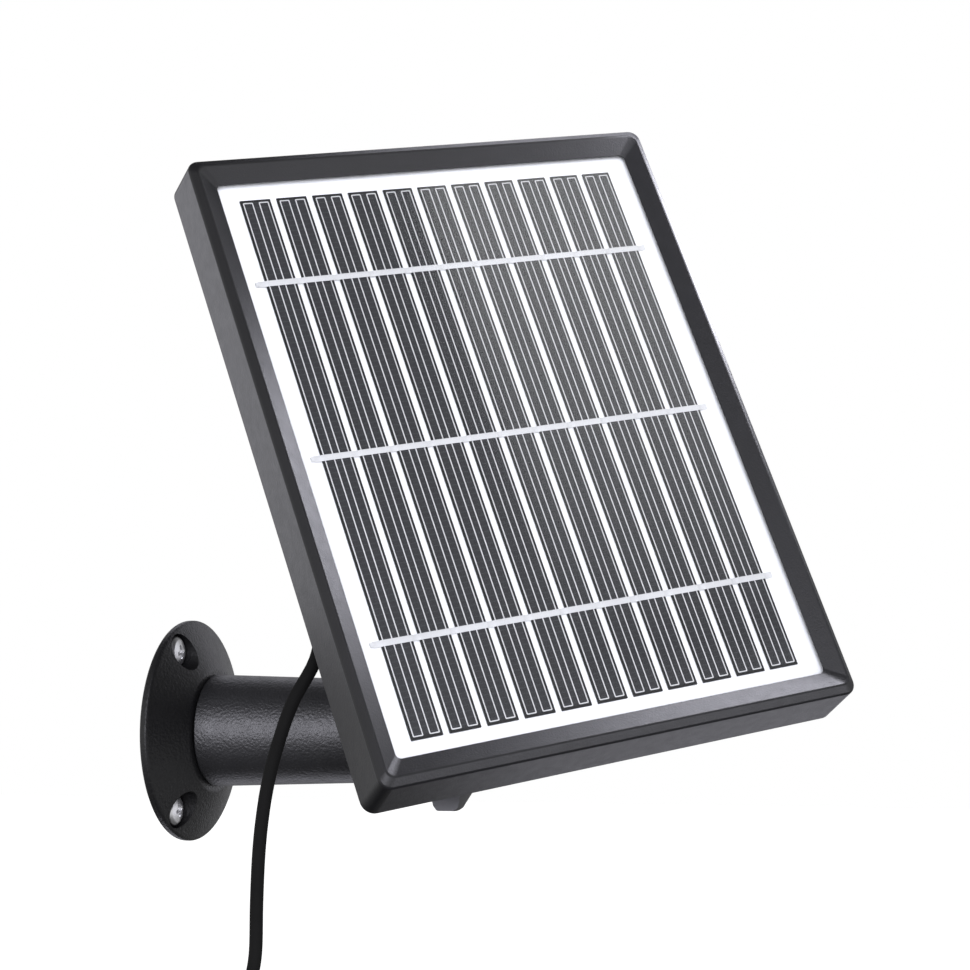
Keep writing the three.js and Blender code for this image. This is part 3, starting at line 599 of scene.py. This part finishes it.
# ---- bracket ----
def make_flange():
    """A low cone with a spigot that centres the arm; each wall screw has a hole and a round pocket."""
    recess, recess_depth, bore, spigot_r, spigot_top = 11, 4.2, 2.5, 6, 13
    edge = 0.5
    shape = turned([
        (recess, 0), (FLANGE_R - 0.3, 0), (FLANGE_R, edge), (FLANGE_R, FLANGE_RIM - edge),
        (FLANGE_R - 0.6, FLANGE_RIM), (ARM_ROOT_R + 1.2, FLANGE_TOP - 0.1), (ARM_ROOT_R, FLANGE_TOP),
        (spigot_r, FLANGE_TOP), (spigot_r, spigot_top), (bore, spigot_top), (bore, recess_depth),
        (recess, recess_depth),
    ], segments=144, softness=0.35, is_ring=True)
    flange = make_object("flange", shape, ARM)
    tools = []
    for degrees in WALL_SCREWS.values():
        place = turn(degrees, "Z") @ shift(SCREW_CIRCLE_R, 0, 0)
        tools.append(moved(cylinder(SCREW_HOLE_R, -1, FLANGE_TOP, 32), place))
        tools.append(moved(cylinder(SCREW_POCKET_R, SCREW_POCKET_FLOOR, FLANGE_TOP, 56), place))
    boolean(flange, tools, ARM, "DIFFERENCE")
    bevel(flange, 0.22, 40)
    finish_piece(flange, "bracket_plastic", "flange", ("wall_flange",), 30)


def cross_recess(floor, top, reach, half_width):
    """The two tapered arms of a cross recess."""
    arms = []
    for degrees in (0, 90):
        arms.append(moved(rounded([
            (reach * 0.45, half_width * 0.6, 0.1, floor), (reach, half_width, 0.15, top),
        ], 0, steps=3), turn(degrees, "Z")))
    return arms


def make_wall_screw(name, degrees):
    """A domed head with a cross recess, on a short shank with a chamfered end."""
    tip, seat = -SCREW_LENGTH, SCREW_SEAT
    chamfer = 0.8
    side, top = seat + 1.05, seat + 2.35
    recess_floor, recess_top, recess_reach, recess_half = seat + 1.0, seat + 3, 2.6, 0.62
    shape = turned([
        (0, tip), (SCREW_SHANK_R - chamfer, tip), (SCREW_SHANK_R, tip + chamfer), (SCREW_SHANK_R, seat),
        (SCREW_HEAD_R, seat), (SCREW_HEAD_R, side), (3.5, seat + 1.75), (1.9, seat + 2.2), (0.3, top),
        (0, top),
    ], segments=64, softness=0.3)
    recess_turn = 20
    place = ARM @ turn(degrees, "Z") @ shift(SCREW_CIRCLE_R * MM, 0, 0) @ turn(recess_turn - degrees, "Z")
    screw = make_object(name + "_fine", shape, place)
    recess = cross_recess(recess_floor, recess_top, recess_reach, recess_half)
    boolean(screw, recess, place, "DIFFERENCE")
    finish_piece(screw, "zinc", "flange", (name,), 28)


def make_arm():
    """A tapered tube: a socket for the flange's spigot at its root, and hollow towards its tip."""
    base = FLANGE_TOP + GAP
    root = ARM_ROOT_R - (ARM_ROOT_R - ARM_TIP_R) / ARM_TIP * base
    bolt_r, bolt_end = 2.4, 25.6
    socket_r, socket_end = 6.3, 13.3
    mouth_r, mouth_floor = 9.5, 75.7
    hollow_r, hollow_floor = 12, 27
    shape = turned([
        (0, bolt_end), (bolt_r, bolt_end), (bolt_r, socket_end), (socket_r, socket_end), (socket_r, base),
        (root - 0.1, base), (ARM_TIP_R, ARM_TIP), (ARM_TIP_R - 0.2, ARM_THREAD_END),
        (mouth_r, ARM_THREAD_END), (mouth_r, mouth_floor), (mouth_r + 0.9, ARM_TIP),
        (hollow_r, hollow_floor + 3), (hollow_r - 3, hollow_floor), (0, hollow_floor),
    ], segments=144, softness=0.4)
    arm = make_object("arm", shape, ARM)
    finish_piece(arm, "bracket_plastic", "arm", ("arm_tube",), 35)


def make_lock_ring():
    """A lobed grip that narrows to a nose; the nose's lip is past the ball's middle and holds it."""
    past_ball = 2.5
    front = BALL_AT + past_ball
    lip = math.sqrt(BALL_R ** 2 - past_ball ** 2) + 0.16
    back, grip_r = 74.5, 21.6
    thread_r, thread_end, cavity_r = 13.95, 83.7, 12.5
    shape = turned([
        (thread_r, back), (grip_r - 1.3, back), (grip_r, back + 0.9), (grip_r, back + 5.8),
        (grip_r - 0.8, 81.5), (17.2, 83.3), (15.6, 84.3), (14.9, 89), (13.5, front), (lip, front),
        (BALL_R + GAP, BALL_AT), (cavity_r, BALL_AT - 1), (cavity_r, thread_end + 0.3),
        (thread_r, thread_end),
    ], segments=144, softness=0.35, is_ring=True)
    ring = make_object("grip_ring", shape, ARM)
    tools = []
    for i in range(LOBE_COUNT):
        place = turn(360 * (i + 0.5) / LOBE_COUNT, "Z") @ shift(LOBE_HOLLOW_AT, 0, 0)
        tools.append(moved(cylinder(LOBE_HOLLOW_R, back - 1, LOBE_END, 72), place))
    boolean(ring, tools, ARM, "DIFFERENCE")
    bevel(ring, 0.25, 40)
    finish_piece(ring, "grip_plastic", "lock_ring", ("lock_ring",), 30)


def ball_outline(neck):
    """From the ball's far pole round to where the neck leaves it."""
    steps = 40
    neck_angle = math.asin(neck / BALL_R)
    outline = [(0, -BALL_R)]
    for i in range(1, steps + 1):
        angle = math.pi - (math.pi - neck_angle) * i / steps
        outline.append((BALL_R * math.sin(angle), BALL_R * math.cos(angle)))
    return outline


def make_ball_and_stud():
    """The steel stud is moulded into the ball; its thread is a row of fine ridges."""
    neck, run_out = 2.6, 0.6
    thread_r, thread_depth, thread_pitch = 3.15, 0.45, 1.27
    start = BALL_R + 5.1
    end = -BALL_Z - 10.6
    ridges = [(neck, start - run_out)]
    for i in range(int((end - start) / thread_pitch)):
        ridges.append((thread_r, start + thread_pitch * (i + 0.35)))
        ridges.append((thread_r - thread_depth, start + thread_pitch * (i + 0.85)))
    outline = [*ball_outline(neck), *ridges, (neck, end + run_out), (0, end + run_out)]
    made = make_object("ball_and_stud", turned(outline, 72, 0), STUD)
    finish_piece(made, "grip_plastic", "panel", ("pivot_ball", "ball_stud"), 40)
    made.data.materials.append(MATERIALS["steel"])
    ball_middle = Vector((0, -BALL_AT * MM, 0))
    for face in made.data.polygons:
        if (face.center - ball_middle).length > (BALL_R + 0.5) * MM:
            face.material_index = 1


make_flange()
for screw_name, screw_degrees in WALL_SCREWS.items():
    make_wall_screw(screw_name, screw_degrees)
make_arm()
make_lock_ring()
make_ball_and_stud()


# ---- panel ----
def make_front_frame():
    """The bezel and side walls, in one loft round the panel that starts and ends at the opening."""
    body_x, body_y = BODY
    open_x, open_y = OPENING
    flared_y = body_y + BODY_FLARE
    crest_x, crest_y, crest_width = 67.8, 86.95, 0.5
    seat_x, seat_y, seat_z = 66.6, 85.6, -3.3
    wall, edge = 1.8, 0.5
    shape = rounded([
        (open_x, open_y, 1.5, 0.6), (crest_x, crest_y, 2.2, CREST_Z),
        (crest_x + crest_width, crest_y + crest_width, 2.4, CREST_Z),
        (body_x - 0.35, body_y - 0.35, 3, 1.95), (body_x, body_y, 3.2, 1.4),
        (body_x, flared_y, 3.6, BACK_Z + edge), (body_x - edge, flared_y - edge, 3.2, BACK_Z),
        (body_x - wall, flared_y - wall, 2, BACK_Z), (body_x - wall, body_y - wall, 1.8, seat_z - 0.3),
        (seat_x, seat_y, 1.6, seat_z), (seat_x, seat_y, 1.6, LIP_Z), (open_x, open_y, 1.5, LIP_Z),
    ], softness=0.22, is_ring=True, steps=10)
    made = make_object("bezel", shape, PANEL)
    finish_piece(made, "housing_plastic", "panel", ("front_frame",), 24)


def strip_x(index):
    return (index - (STRIP_COUNT - 1) / 2) * STRIP_PITCH


def make_strips():
    """Each strip's mesh has its own map in millimetres, which the silicon's margin and fingers use."""
    half_x, half_y = STRIP_WIDTH / 2, STRIP_LENGTH / 2
    bottom = CELL_TOP - CELL_THICKNESS
    edge = 0.03
    into_panel = PANEL.inverted()
    for i in range(STRIP_COUNT):
        name = f"cell_strip_{i + 1:02d}"
        shape = rounded([
            (half_x - edge, half_y - edge, 0.12, bottom), (half_x, half_y, 0.15, bottom + edge),
            (half_x, half_y, 0.15, CELL_TOP - edge), (half_x - edge, half_y - edge, 0.12, CELL_TOP),
        ], 0, steps=3)
        place = PANEL @ shift(strip_x(i) * MM, 0, 0)
        strip = make_object(name + "_fine", shape, place)
        layer = strip.data.uv_layers.new(name="strip")
        for loop in strip.data.loops:
            local = into_panel @ strip.data.vertices[loop.vertex_index].co
            layer.data[loop.index].uv = (local.x / MM - strip_x(i), local.y / MM)
        finish_piece(strip, "silicon", "panel", (name,), 30)


def make_printed_lines():
    """Two long closed loops of printed silver on every strip."""
    half_line = 0.15
    half_x, half_y = 1.28, STRIP_LENGTH / 2 - 0.95
    from_middle = 2.27
    low, top = CELL_TOP + 0.01, CELL_TOP + 0.05
    outer = (half_x + half_line, half_y + half_line, 0.3)
    inner = (half_x - half_line, half_y - half_line, 0.12)
    loop = rounded([(*outer, low), (*outer, top), (*inner, top), (*inner, low)], 0, True, steps=3)
    shapes = []
    for i in range(STRIP_COUNT):
        for side in (-1, 1):
            shapes.append(moved(loop, shift(strip_x(i) + side * from_middle, 0, 0)))
    made = make_object("printed_lines", merged(shapes), PANEL)
    finish_piece(made, "tinned_ribbon", "panel", (), 30)


def ribbon_height(x):
    """The ribbon lies on each strip and dips a little in the gaps between them."""
    dip, before_edge, slope = 0.22, 0.35, 0.9
    place = x / STRIP_PITCH + (STRIP_COUNT - 1) / 2
    from_strip = abs(place - round(place)) * STRIP_PITCH
    into_gap = min(max((from_strip - STRIP_WIDTH / 2 + before_edge) / slope, 0), 1)
    return RIBBON_TOP - dip * into_gap * into_gap * (3 - 2 * into_gap)


def ribbon_section(x, y):
    """The ribbon's outline at one place along it, with its long edges taken off."""
    half, thickness, edge, shoulder = RIBBON_WIDTH / 2, 0.15, 0.05, 0.12
    top = ribbon_height(x)
    low = top - thickness
    return [
        (x, y - half + edge, low), (x, y + half - edge, low), (x, y + half, low + edge),
        (x, y + half, top - edge), (x, y + half - shoulder, top), (x, y - half + shoulder, top),
        (x, y - half, top - edge), (x, y - half, low + edge),
    ]


def make_ribbons():
    """Three ribbons, each with a small pad at its left-hand end."""
    reach = strip_x(STRIP_COUNT - 1) + STRIP_WIDTH / 2 + RIBBON_END
    steps = 420
    places = [-reach + 2 * reach * step / steps for step in range(steps + 1)]
    pad = rounded([
        (0.55, 0.65, 0.15, RIBBON_TOP - 0.35), (0.55, 0.65, 0.15, RIBBON_TOP - 0.12),
        (0.45, 0.55, 0.1, RIBBON_TOP),
    ], 0.1)
    for i in range(3):
        y = (1 - i) * RIBBON_PITCH
        band = skin([ribbon_section(x, y) for x in places], False)
        shape = merged([band, moved(pad, shift(-reach - 0.3, y, 0))])
        made = make_object(f"ribbon_{i + 1}", shape, PANEL)
        finish_piece(made, "tinned_ribbon", "panel", (f"bus_ribbon_{i + 1}",), 30)


def cover_screw_places():
    x = BODY[0] - COVER_SCREW_INSET[0]
    y = BODY[1] - COVER_SCREW_INSET[1]
    return ((-x, y), (x, y), (-x, 0), (x, 0), (-x, -y), (x, -y))


def make_cover_sheet():
    half_x, half_y, corner = 66.2, 85.2, 1.2
    bottom, top = -0.35, 0.05
    shape = rounded([(half_x, half_y, corner, bottom), (half_x, half_y, corner, top)], 0)
    sheet = make_object("clear_cover", shape, PANEL)
    finish_piece(sheet, "clear_sheet", "panel", ("cover_sheet",), 20)


def cover_cuts():
    """Holes for the inserts, each with a recess for the stud's nut, for the screws and for the wires."""
    insert_r, insert_end, nut_recess_r, nut_recess_floor = 4.8, -9.2, 6.2, -18.9
    screw_r, screw_head_r, screw_head_seat = 1.5, 2.8, -12.5
    wires_r = 4
    below_cover, above_cover, below_pad = -15, -9, PAD_FACE - 1
    cuts = []
    for x in (-INSERT_X, INSERT_X):
        place = shift(x, BALL_Y, 0)
        cuts.append(moved(cylinder(insert_r, below_pad, insert_end, 48), place))
        cuts.append(moved(cylinder(nut_recess_r, below_pad, nut_recess_floor, 48), place))
    for x, y in cover_screw_places():
        place = shift(x, y, 0)
        cuts.append(moved(cylinder(screw_r, below_cover, above_cover, 24), place))
        cuts.append(moved(cylinder(screw_head_r, below_cover, screw_head_seat, 40), place))
    cuts.append(moved(cylinder(wires_r, below_cover, above_cover, 32), shift(0, BOX_Y, 0)))
    return cuts


def make_rear_cover():
    """A plate with a raised pad round the two inserts."""
    half_x = BODY[0] - 2.1
    half_y = BODY[1] - 0.9
    edge = 0.5
    made = make_object("back_cover", rounded([
        (half_x - edge, half_y - edge, 1.6, COVER_FACE), (half_x, half_y, 2, COVER_FACE + edge),
        (half_x, half_y - 0.2, 2, COVER_INSIDE),
    ], 0.2), PANEL)
    pad_x, pad_y, pad_corner, boss_end = 21, 9.6, 4, -7.6
    pad = moved(rounded([
        (22, 10, 5, PAD_FACE), (22.6, 10.6, 5.6, PAD_FACE + 0.6), (23.6, 11.6, 6.6, COVER_INSIDE - 1),
        (pad_x, pad_y, pad_corner, COVER_INSIDE - 0.9), (pad_x, pad_y, pad_corner, boss_end),
    ], 0.3), shift(0, BALL_Y, 0))
    boolean(made, [pad], PANEL, "UNION")
    boolean(made, cover_cuts(), PANEL, "DIFFERENCE")
    finish_piece(made, "housing_plastic", "panel", ("rear_cover",), 28)


def make_cover_screws():
    """Low domed screws that come in from the back, each with a cross recess."""
    face, seat, tip = -14, -12.8, -6.2
    head_r, shank_r = 2.3, 1.1
    shape = turned([
        (0, face), (0.3, face), (1.3, face + 0.15), (head_r, face + 0.7), (head_r, seat), (shank_r, seat),
        (shank_r, tip - 1), (0, tip),
    ], 40, 0.15)
    recess = [moved(arm, turn(180, "X")) for arm in cross_recess(12.9, 15, 1.35, 0.3)]
    for i, (x, y) in enumerate(cover_screw_places()):
        name = f"cover_screw_{i + 1}"
        place = PANEL @ shift(x * MM, y * MM, 0)
        screw = make_object(name + "_fine", shape, place)
        boolean(screw, recess, place, "DIFFERENCE")
        finish_piece(screw, "zinc", "panel", (name,), 28)


def make_inserts():
    """Brass inserts with a ridged bore and a groove round the outside that the plastic grips."""
    outer_r, groove_r = 4.5, 4.1
    inner_end, face = -9.5, -19.2
    ridge_r, root_r, pitch, ridges = 3.45, 3.62, 1.27, 7
    bore = [(ridge_r, inner_end)]
    for i in range(ridges):
        bore.append((root_r, inner_end - 0.6 - pitch * i))
        bore.append((ridge_r, inner_end - 1.2 - pitch * i))
    shape = turned([
        (outer_r, inner_end), *bore, (3.7, face), (outer_r, face), (outer_r, -14.8), (groove_r, -14.5),
        (groove_r, -13.9), (outer_r, -13.6),
    ], 56, 0.1, True)
    for name, x in (("threaded_insert_left", -INSERT_X), ("threaded_insert_right", INSERT_X)):
        insert = make_object(name + "_fine", shape, PANEL @ shift(x * MM, BALL_Y * MM, 0))
        finish_piece(insert, "brass", "panel", (name,), 30)


def make_gland():
    """The gland's cap and the ribbed strain relief; both are turned about the lead's way out."""
    bore_r, throat_r, cap_r = 3.6, 2.1, 4.3
    cap_start, cap_end, throat_start = 3.7, 10, 5.9
    cap = make_object("gland_cap", turned([
        (bore_r, cap_start), (cap_r, cap_start), (cap_r, 7.6), (3.4, 9.4), (2.6, cap_end),
        (throat_r, cap_end), (throat_r, throat_start), (bore_r, throat_start),
    ], 64, 0.2, True), GLAND)
    finish_piece(cap, "rubber", "panel", ("gland_nut",), 35)
    collar_r, collar_start, collar_end = 2.75, 10.3, 11.3
    end = -CORD_EXIT_X - BOX_HALF[0] - BOX_DRAFT - GAP
    ribs = [(0, collar_start), (collar_r, collar_start), (collar_r, collar_end)]
    for i in range(5):
        height = collar_end + 0.6 + 1.75 * i
        radius = collar_r - 0.2 - 0.1 * i
        ribs.extend(((radius - 0.42, height), (radius, height + 0.5), (radius, height + 1.2)))
    ribs.extend(((2.0, end), (0, end)))
    relief = make_object("tapered_relief", turned(ribs, 56, 0.2), GLAND)
    finish_piece(relief, "rubber", "panel", ("strain_relief",), 40)


make_front_frame()
make_strips()
make_printed_lines()
make_ribbons()
make_cover_sheet()
make_rear_cover()
make_cover_screws()
make_inserts()
make_gland()


# ---- plug and tie, which go with the lead ----
def make_plug():
    """A flat charging plug that hangs down: grip, hollow metal sleeve with its tongue, and a seal."""
    grip_x, grip_y, grip_corner = 5.6, 3.8, 3
    face, tip = -26, -32.6
    body = make_object("plug_grip", rounded([
        (2.3, 2.3, 2.2, 0), (3, 2.9, 2.6, -9), (grip_x, grip_y, grip_corner, -12),
        (grip_x, grip_y, grip_corner, face + 1), (grip_x - 0.4, grip_y - 0.4, 2.8, face),
    ], 0.6, steps=10), PLUG)
    finish_piece(body, "rubber", "ball", ("plug_body",), 35)
    tongue = rounded([(2.7, 0.3, 0.25, tip + 0.4), (2.7, 0.3, 0.25, face - 0.6)], 0, steps=6)
    sleeve = rounded([
        (3.4, 0.95, 0.9, tip), (3.4, 0.95, 0.9, face - 0.3), (3.1, 0.65, 0.6, face - 0.3),
        (3.1, 0.65, 0.6, tip),
    ], 0.05, True, steps=8)
    shell = make_object("plug_sleeve", merged([sleeve, tongue]), PLUG)
    finish_piece(shell, "steel", "ball", ("plug_shell",), 35)
    seal_low, seal_top = -23.6, -21.4
    seal = make_object("plug_ring", rounded([
        (6.3, 4.6, 3.6, seal_low), (6.3, 4.6, 3.6, seal_top), (5.9, 4.1, 3.2, seal_top),
        (5.9, 4.1, 3.2, seal_low),
    ], 0.3, True, steps=8), PLUG)
    finish_piece(seal, "rubber", "ball", ("plug_seal",), 40)
    return [body, shell, seal]


def make_tie():
    """A flat strap round the coil's upper right, seen from the room."""
    half_width = 3
    around_turns = 21
    place = shift(*(c * MM for c in COIL_MIDDLE)) @ turn(-50, "Y") @ shift(around_turns * MM, 0, 0)
    tie = make_object("lead_tie", rounded([
        (10.75, 8.7, 2.4, -half_width), (10.75, 8.7, 2.4, half_width), (9.55, 7.5, 1.4, half_width),
        (9.55, 7.5, 1.4, -half_width),
    ], 0.3, True), place)
    return finish_piece(tie, "rubber", "ball", ("coil_tie",), 35)


plug_pieces = make_plug()
lead_tie = make_tie()


# ---- CAD nodes that are shown as they are, with finer edges and their own finish ----
SOFT_EDGES = {"junction_box": 0.25, "box_lid": 0.25, "stud_lock_nut": 0.3, "gland_body": 0.2}
for row in RECORD["subparts"]:
    node = CAD_NODES[row["node"]]
    if node.hide_render:
        continue
    node.data.materials.clear()
    node.data.materials.append(MATERIALS[row["material_slot"]])
    if "custom_normal" in node.data.attributes:
        node.data.attributes.remove(node.data.attributes["custom_normal"])
    if row["node"] in SOFT_EDGES:
        bevel(node, SOFT_EDGES[row["node"]])
    smooth(node, 32)


# ---- studio ----
FLOOR_Z = -0.3  # metres, clear of the hanging plug
# (height from straight down to straight up as 0 to 1, tone) of the light all round
WORLD_TONES = ((0.0, 0.12), (0.2, 0.2), (0.36, 0.75), (0.55, 0.9), (0.72, 0.62), (0.85, 0.22), (1.0, 0.1))
WORLD_RIGHT = 0.5  # share of that light that is left on the +X side
COOL_WHITE = (0.97, 0.965, 1.08)  # every lamp's colour
PANEL_MIDDLE = tuple(PANEL.translation)
ARM_MIDDLE = (0, -0.045, 0)  # metres


def on_panel(x, y):
    return tuple(PANEL @ Vector((x * MM, y * MM, 0)))


LAMINATE = ("backsheet", "clear_cover", "cell", "ribbon", "printed")
HOUSING = ("bezel",)
BRACKET = ("arm", "flange", "grip_ring")
REAR = ("back_cover", "junction_box", "box_lid", "gland", "tapered_relief")
# name: (what it looks at, direction it stands in, distance, width, height, radiance, pieces it lights),
# in metres; a lamp with no pieces named lights them all
SOFTBOXES = {
    "face": (PANEL_MIDDLE, (-0.93, -0.36, 0.08), 1.6, 0.9, 0.9, 10.3, LAMINATE),
    "key": (PANEL_MIDDLE, (-0.93, -0.36, 0.08), 1.6, 0.9, 0.9, 3.8, ()),
    "arm": (ARM_MIDDLE, (-0.94, 0.33, 0.1), 1.2, 0.8, 0.56, 9.5, ("arm", "grip_ring")),
    "arm_top": (ARM_MIDDLE, (0.69, 0.31, 0.65), 1.0, 0.5, 0.5, 1.1, BRACKET),
    "wall_side": (on_panel(-70, 70), (0.33, 0.93, 0.02), 0.6, 0.4, 0.36, 0.85, HOUSING),
    "top_edge": (on_panel(66, 88), (0.5, 0.06, 0.865), 0.24, 0.16, 0.16, 2.2, HOUSING),
    "low_bevel": (on_panel(72, -85), (0.323, -0.096, 0.94), 0.17, 0.12, 0.12, 8.5, HOUSING),
    "low_wall": (on_panel(66, -90), (0.84, 0.05, -0.54), 0.26, 0.2, 0.2, 0.65, HOUSING),
    "front": (PANEL_MIDDLE, (-0.25, -0.94, -0.24), 1.2, 0.6, 0.5, 2.3, HOUSING),
    "right": (on_panel(66, 80), (0.74, -0.52, 0.45), 0.32, 0.15, 0.13, 1.9, HOUSING),
    "screws": ((0, 0, 0), (0.55, -0.83, 0.05), 1.0, 0.7, 0.7, 0.5, ("wall_screw",)),
    "flange_rim": ((0, 0, 0), (0.9, -0.3, 0.3), 1.0, 0.4, 1.2, 0.9, ("flange",)),
    "under": (ARM_MIDDLE, (0.6, 0.32, -0.74), 1.0, 0.5, 0.5, 1.6, BRACKET),
    "rear": (PANEL_MIDDLE, (0.5, 0.8, 0.35), 1.2, 0.9, 0.7, 3.0, REAR),
}


def tones_by_height(tree, height):
    """The colour of the light from a direction, by how far up it points."""
    share = tree.nodes.new("ShaderNodeMapRange")
    share.inputs["From Min"].default_value = -1
    tree.links.new(height, share.inputs["Value"])
    ramp = tree.nodes.new("ShaderNodeValToRGB")
    stops = ramp.color_ramp.elements
    stops[0].position = WORLD_TONES[0][0]
    stops[1].position = WORLD_TONES[-1][0]
    for place, _ in WORLD_TONES[1:-1]:
        stops.new(place)
    for stop, (_, tone) in zip(stops, WORLD_TONES):
        stop.color = (tone, tone, tone * 1.01, 1)
    tree.links.new(share.outputs["Result"], ramp.inputs["Fac"])
    return ramp.outputs["Color"]


def strength_by_side(tree, side):
    """The strength of the light from a direction, which falls off towards +X."""
    share = tree.nodes.new("ShaderNodeMapRange")
    share.inputs["From Max"].default_value = 0.6
    share.inputs["To Min"].default_value = 1.0
    share.inputs["To Max"].default_value = WORLD_RIGHT
    tree.links.new(side, share.inputs["Value"])
    return share.outputs["Result"]


def make_world():
    """White to the eye; as light it is bright round the horizon and dark from below."""
    world = bpy.data.worlds.new("studio")
    bpy.context.scene.world = world
    world.use_nodes = True
    tree = world.node_tree
    tree.nodes.clear()
    coordinates = tree.nodes.new("ShaderNodeTexCoord")
    parts = tree.nodes.new("ShaderNodeSeparateXYZ")
    tree.links.new(coordinates.outputs["Generated"], parts.inputs["Vector"])
    light = tree.nodes.new("ShaderNodeBackground")
    tree.links.new(tones_by_height(tree, parts.outputs["Z"]), light.inputs["Color"])
    tree.links.new(strength_by_side(tree, parts.outputs["X"]), light.inputs["Strength"])
    seen = tree.nodes.new("ShaderNodeBackground")
    seen.inputs["Color"].default_value = (1, 1, 1, 1)
    path = tree.nodes.new("ShaderNodeLightPath")
    mix = tree.nodes.new("ShaderNodeMixShader")
    output = tree.nodes.new("ShaderNodeOutputWorld")
    tree.links.new(path.outputs["Is Camera Ray"], mix.inputs["Fac"])
    tree.links.new(light.outputs["Background"], mix.inputs[1])
    tree.links.new(seen.outputs["Background"], mix.inputs[2])
    tree.links.new(mix.outputs["Shader"], output.inputs["Surface"])


def make_floor():
    """A pale floor that glows; the pieces don't mirror it and aren't lit by it."""
    half = 6.0
    mesh = bpy.data.meshes.new("floor")
    corners = [(x, y, FLOOR_Z) for x, y in ((-half, -half), (half, -half), (half, half), (-half, half))]
    mesh.from_pydata(corners, [], [(0, 1, 2, 3)])
    floor = bpy.data.objects.new("floor", mesh)
    bpy.context.scene.collection.objects.link(floor)
    pale = surface("floor", (0.93, 0.93, 0.93), 0.8, tone=0.01, patch=3, bump=0.02)
    shader = pale.node_tree.nodes["Principled BSDF"]
    shader.inputs["Emission Color"].default_value = (1, 1, 1, 1)
    shader.inputs["Emission Strength"].default_value = 0.9
    mesh.materials.append(pale)
    floor.visible_glossy = False
    floor.visible_diffuse = False


def softbox(name, target, direction, distance, width, height, radiance, lit):
    """An area light that looks at a place from a direction; lit holds starts of the names it lights."""
    data = bpy.data.lights.new(name, "AREA")
    data.shape = "RECTANGLE"
    data.size = width
    data.size_y = height
    data.energy = radiance * math.pi * width * height
    data.color = COOL_WHITE
    lamp = bpy.data.objects.new(name, data)
    toward = Vector(direction).normalized()
    lamp.location = Vector(target) + toward * distance
    lamp.rotation_mode = "QUATERNION"
    lamp.rotation_quaternion = toward.to_track_quat("Z", "Y")
    lamp.visible_camera = False
    bpy.context.scene.collection.objects.link(lamp)
    if lit:
        receivers = bpy.data.collections.new(name + "_receivers")
        for piece in bpy.data.objects:
            if piece.type == "MESH" and piece.name.startswith(lit):
                receivers.objects.link(piece)
        lamp.light_linking.receiver_collection = receivers
        data.use_shadow = "wall_screw" not in lit


def sky_card_corners():
    """Where lines from the eye's mirror image through the card's corners on the panel meet the card."""
    left, right, low, top = -5.3, 190, -70, 210  # on the panel's face
    from_panel = 0.75  # metres
    eye = Vector(CAMERA_PLACE)
    middle_of_panel = PANEL.translation
    normal = PANEL.to_3x3() @ Vector((0, 0, 1))
    mirrored = eye - normal * (2 * (eye - middle_of_panel).dot(normal))
    away = (middle_of_panel - mirrored).normalized()
    corners = []
    for x, y in ((left, low), (right, low), (right, top), (left, top)):
        spot = PANEL @ Vector((x * MM, y * MM, 0))
        ray = (spot - mirrored).normalized()
        corners.append(spot + ray * ((middle_of_panel - spot).dot(away) + from_panel) / ray.dot(away))
    return corners


def sky_card_material():
    """A glow that grows up the lower half of the card and is even above that."""
    dim, bright = 0.1, 1.7
    material, tree, output = blank_material("sky_card")
    uv = tree.nodes.new("ShaderNodeUVMap")
    uv.uv_map = "card"
    parts = tree.nodes.new("ShaderNodeSeparateXYZ")
    tree.links.new(uv.outputs["UV"], parts.inputs["Vector"])
    fade = tree.nodes.new("ShaderNodeMapRange")
    fade.inputs["From Min"].default_value = 0.0
    fade.inputs["From Max"].default_value = 0.5
    fade.inputs["To Min"].default_value = dim
    fade.inputs["To Max"].default_value = bright
    tree.links.new(parts.outputs["Y"], fade.inputs["Value"])
    glow = tree.nodes.new("ShaderNodeEmission")
    tree.links.new(fade.outputs["Result"], glow.inputs["Strength"])
    tree.links.new(glow.outputs["Emission"], output.inputs["Surface"])
    return material


def make_sky_card():
    """A pale card above the panel that its clear sheet mirrors on its right-hand half."""
    mesh = bpy.data.meshes.new("sky_card")
    mesh.from_pydata(sky_card_corners(), [], [(0, 1, 2, 3)])
    layer = mesh.uv_layers.new(name="card")
    for loop, uv in zip(layer.data, ((0, 0), (1, 0), (1, 1), (0, 1))):
        loop.uv = uv
    mesh.materials.append(sky_card_material())
    card = bpy.data.objects.new("sky_card", mesh)
    bpy.context.scene.collection.objects.link(card)
    card.visible_camera = False
    card.visible_shadow = False


bpy.context.scene.view_settings.view_transform = "Standard"
make_world()
make_floor()
make_sky_card()
for box_name, box_values in SOFTBOXES.items():
    softbox(box_name, *box_values)
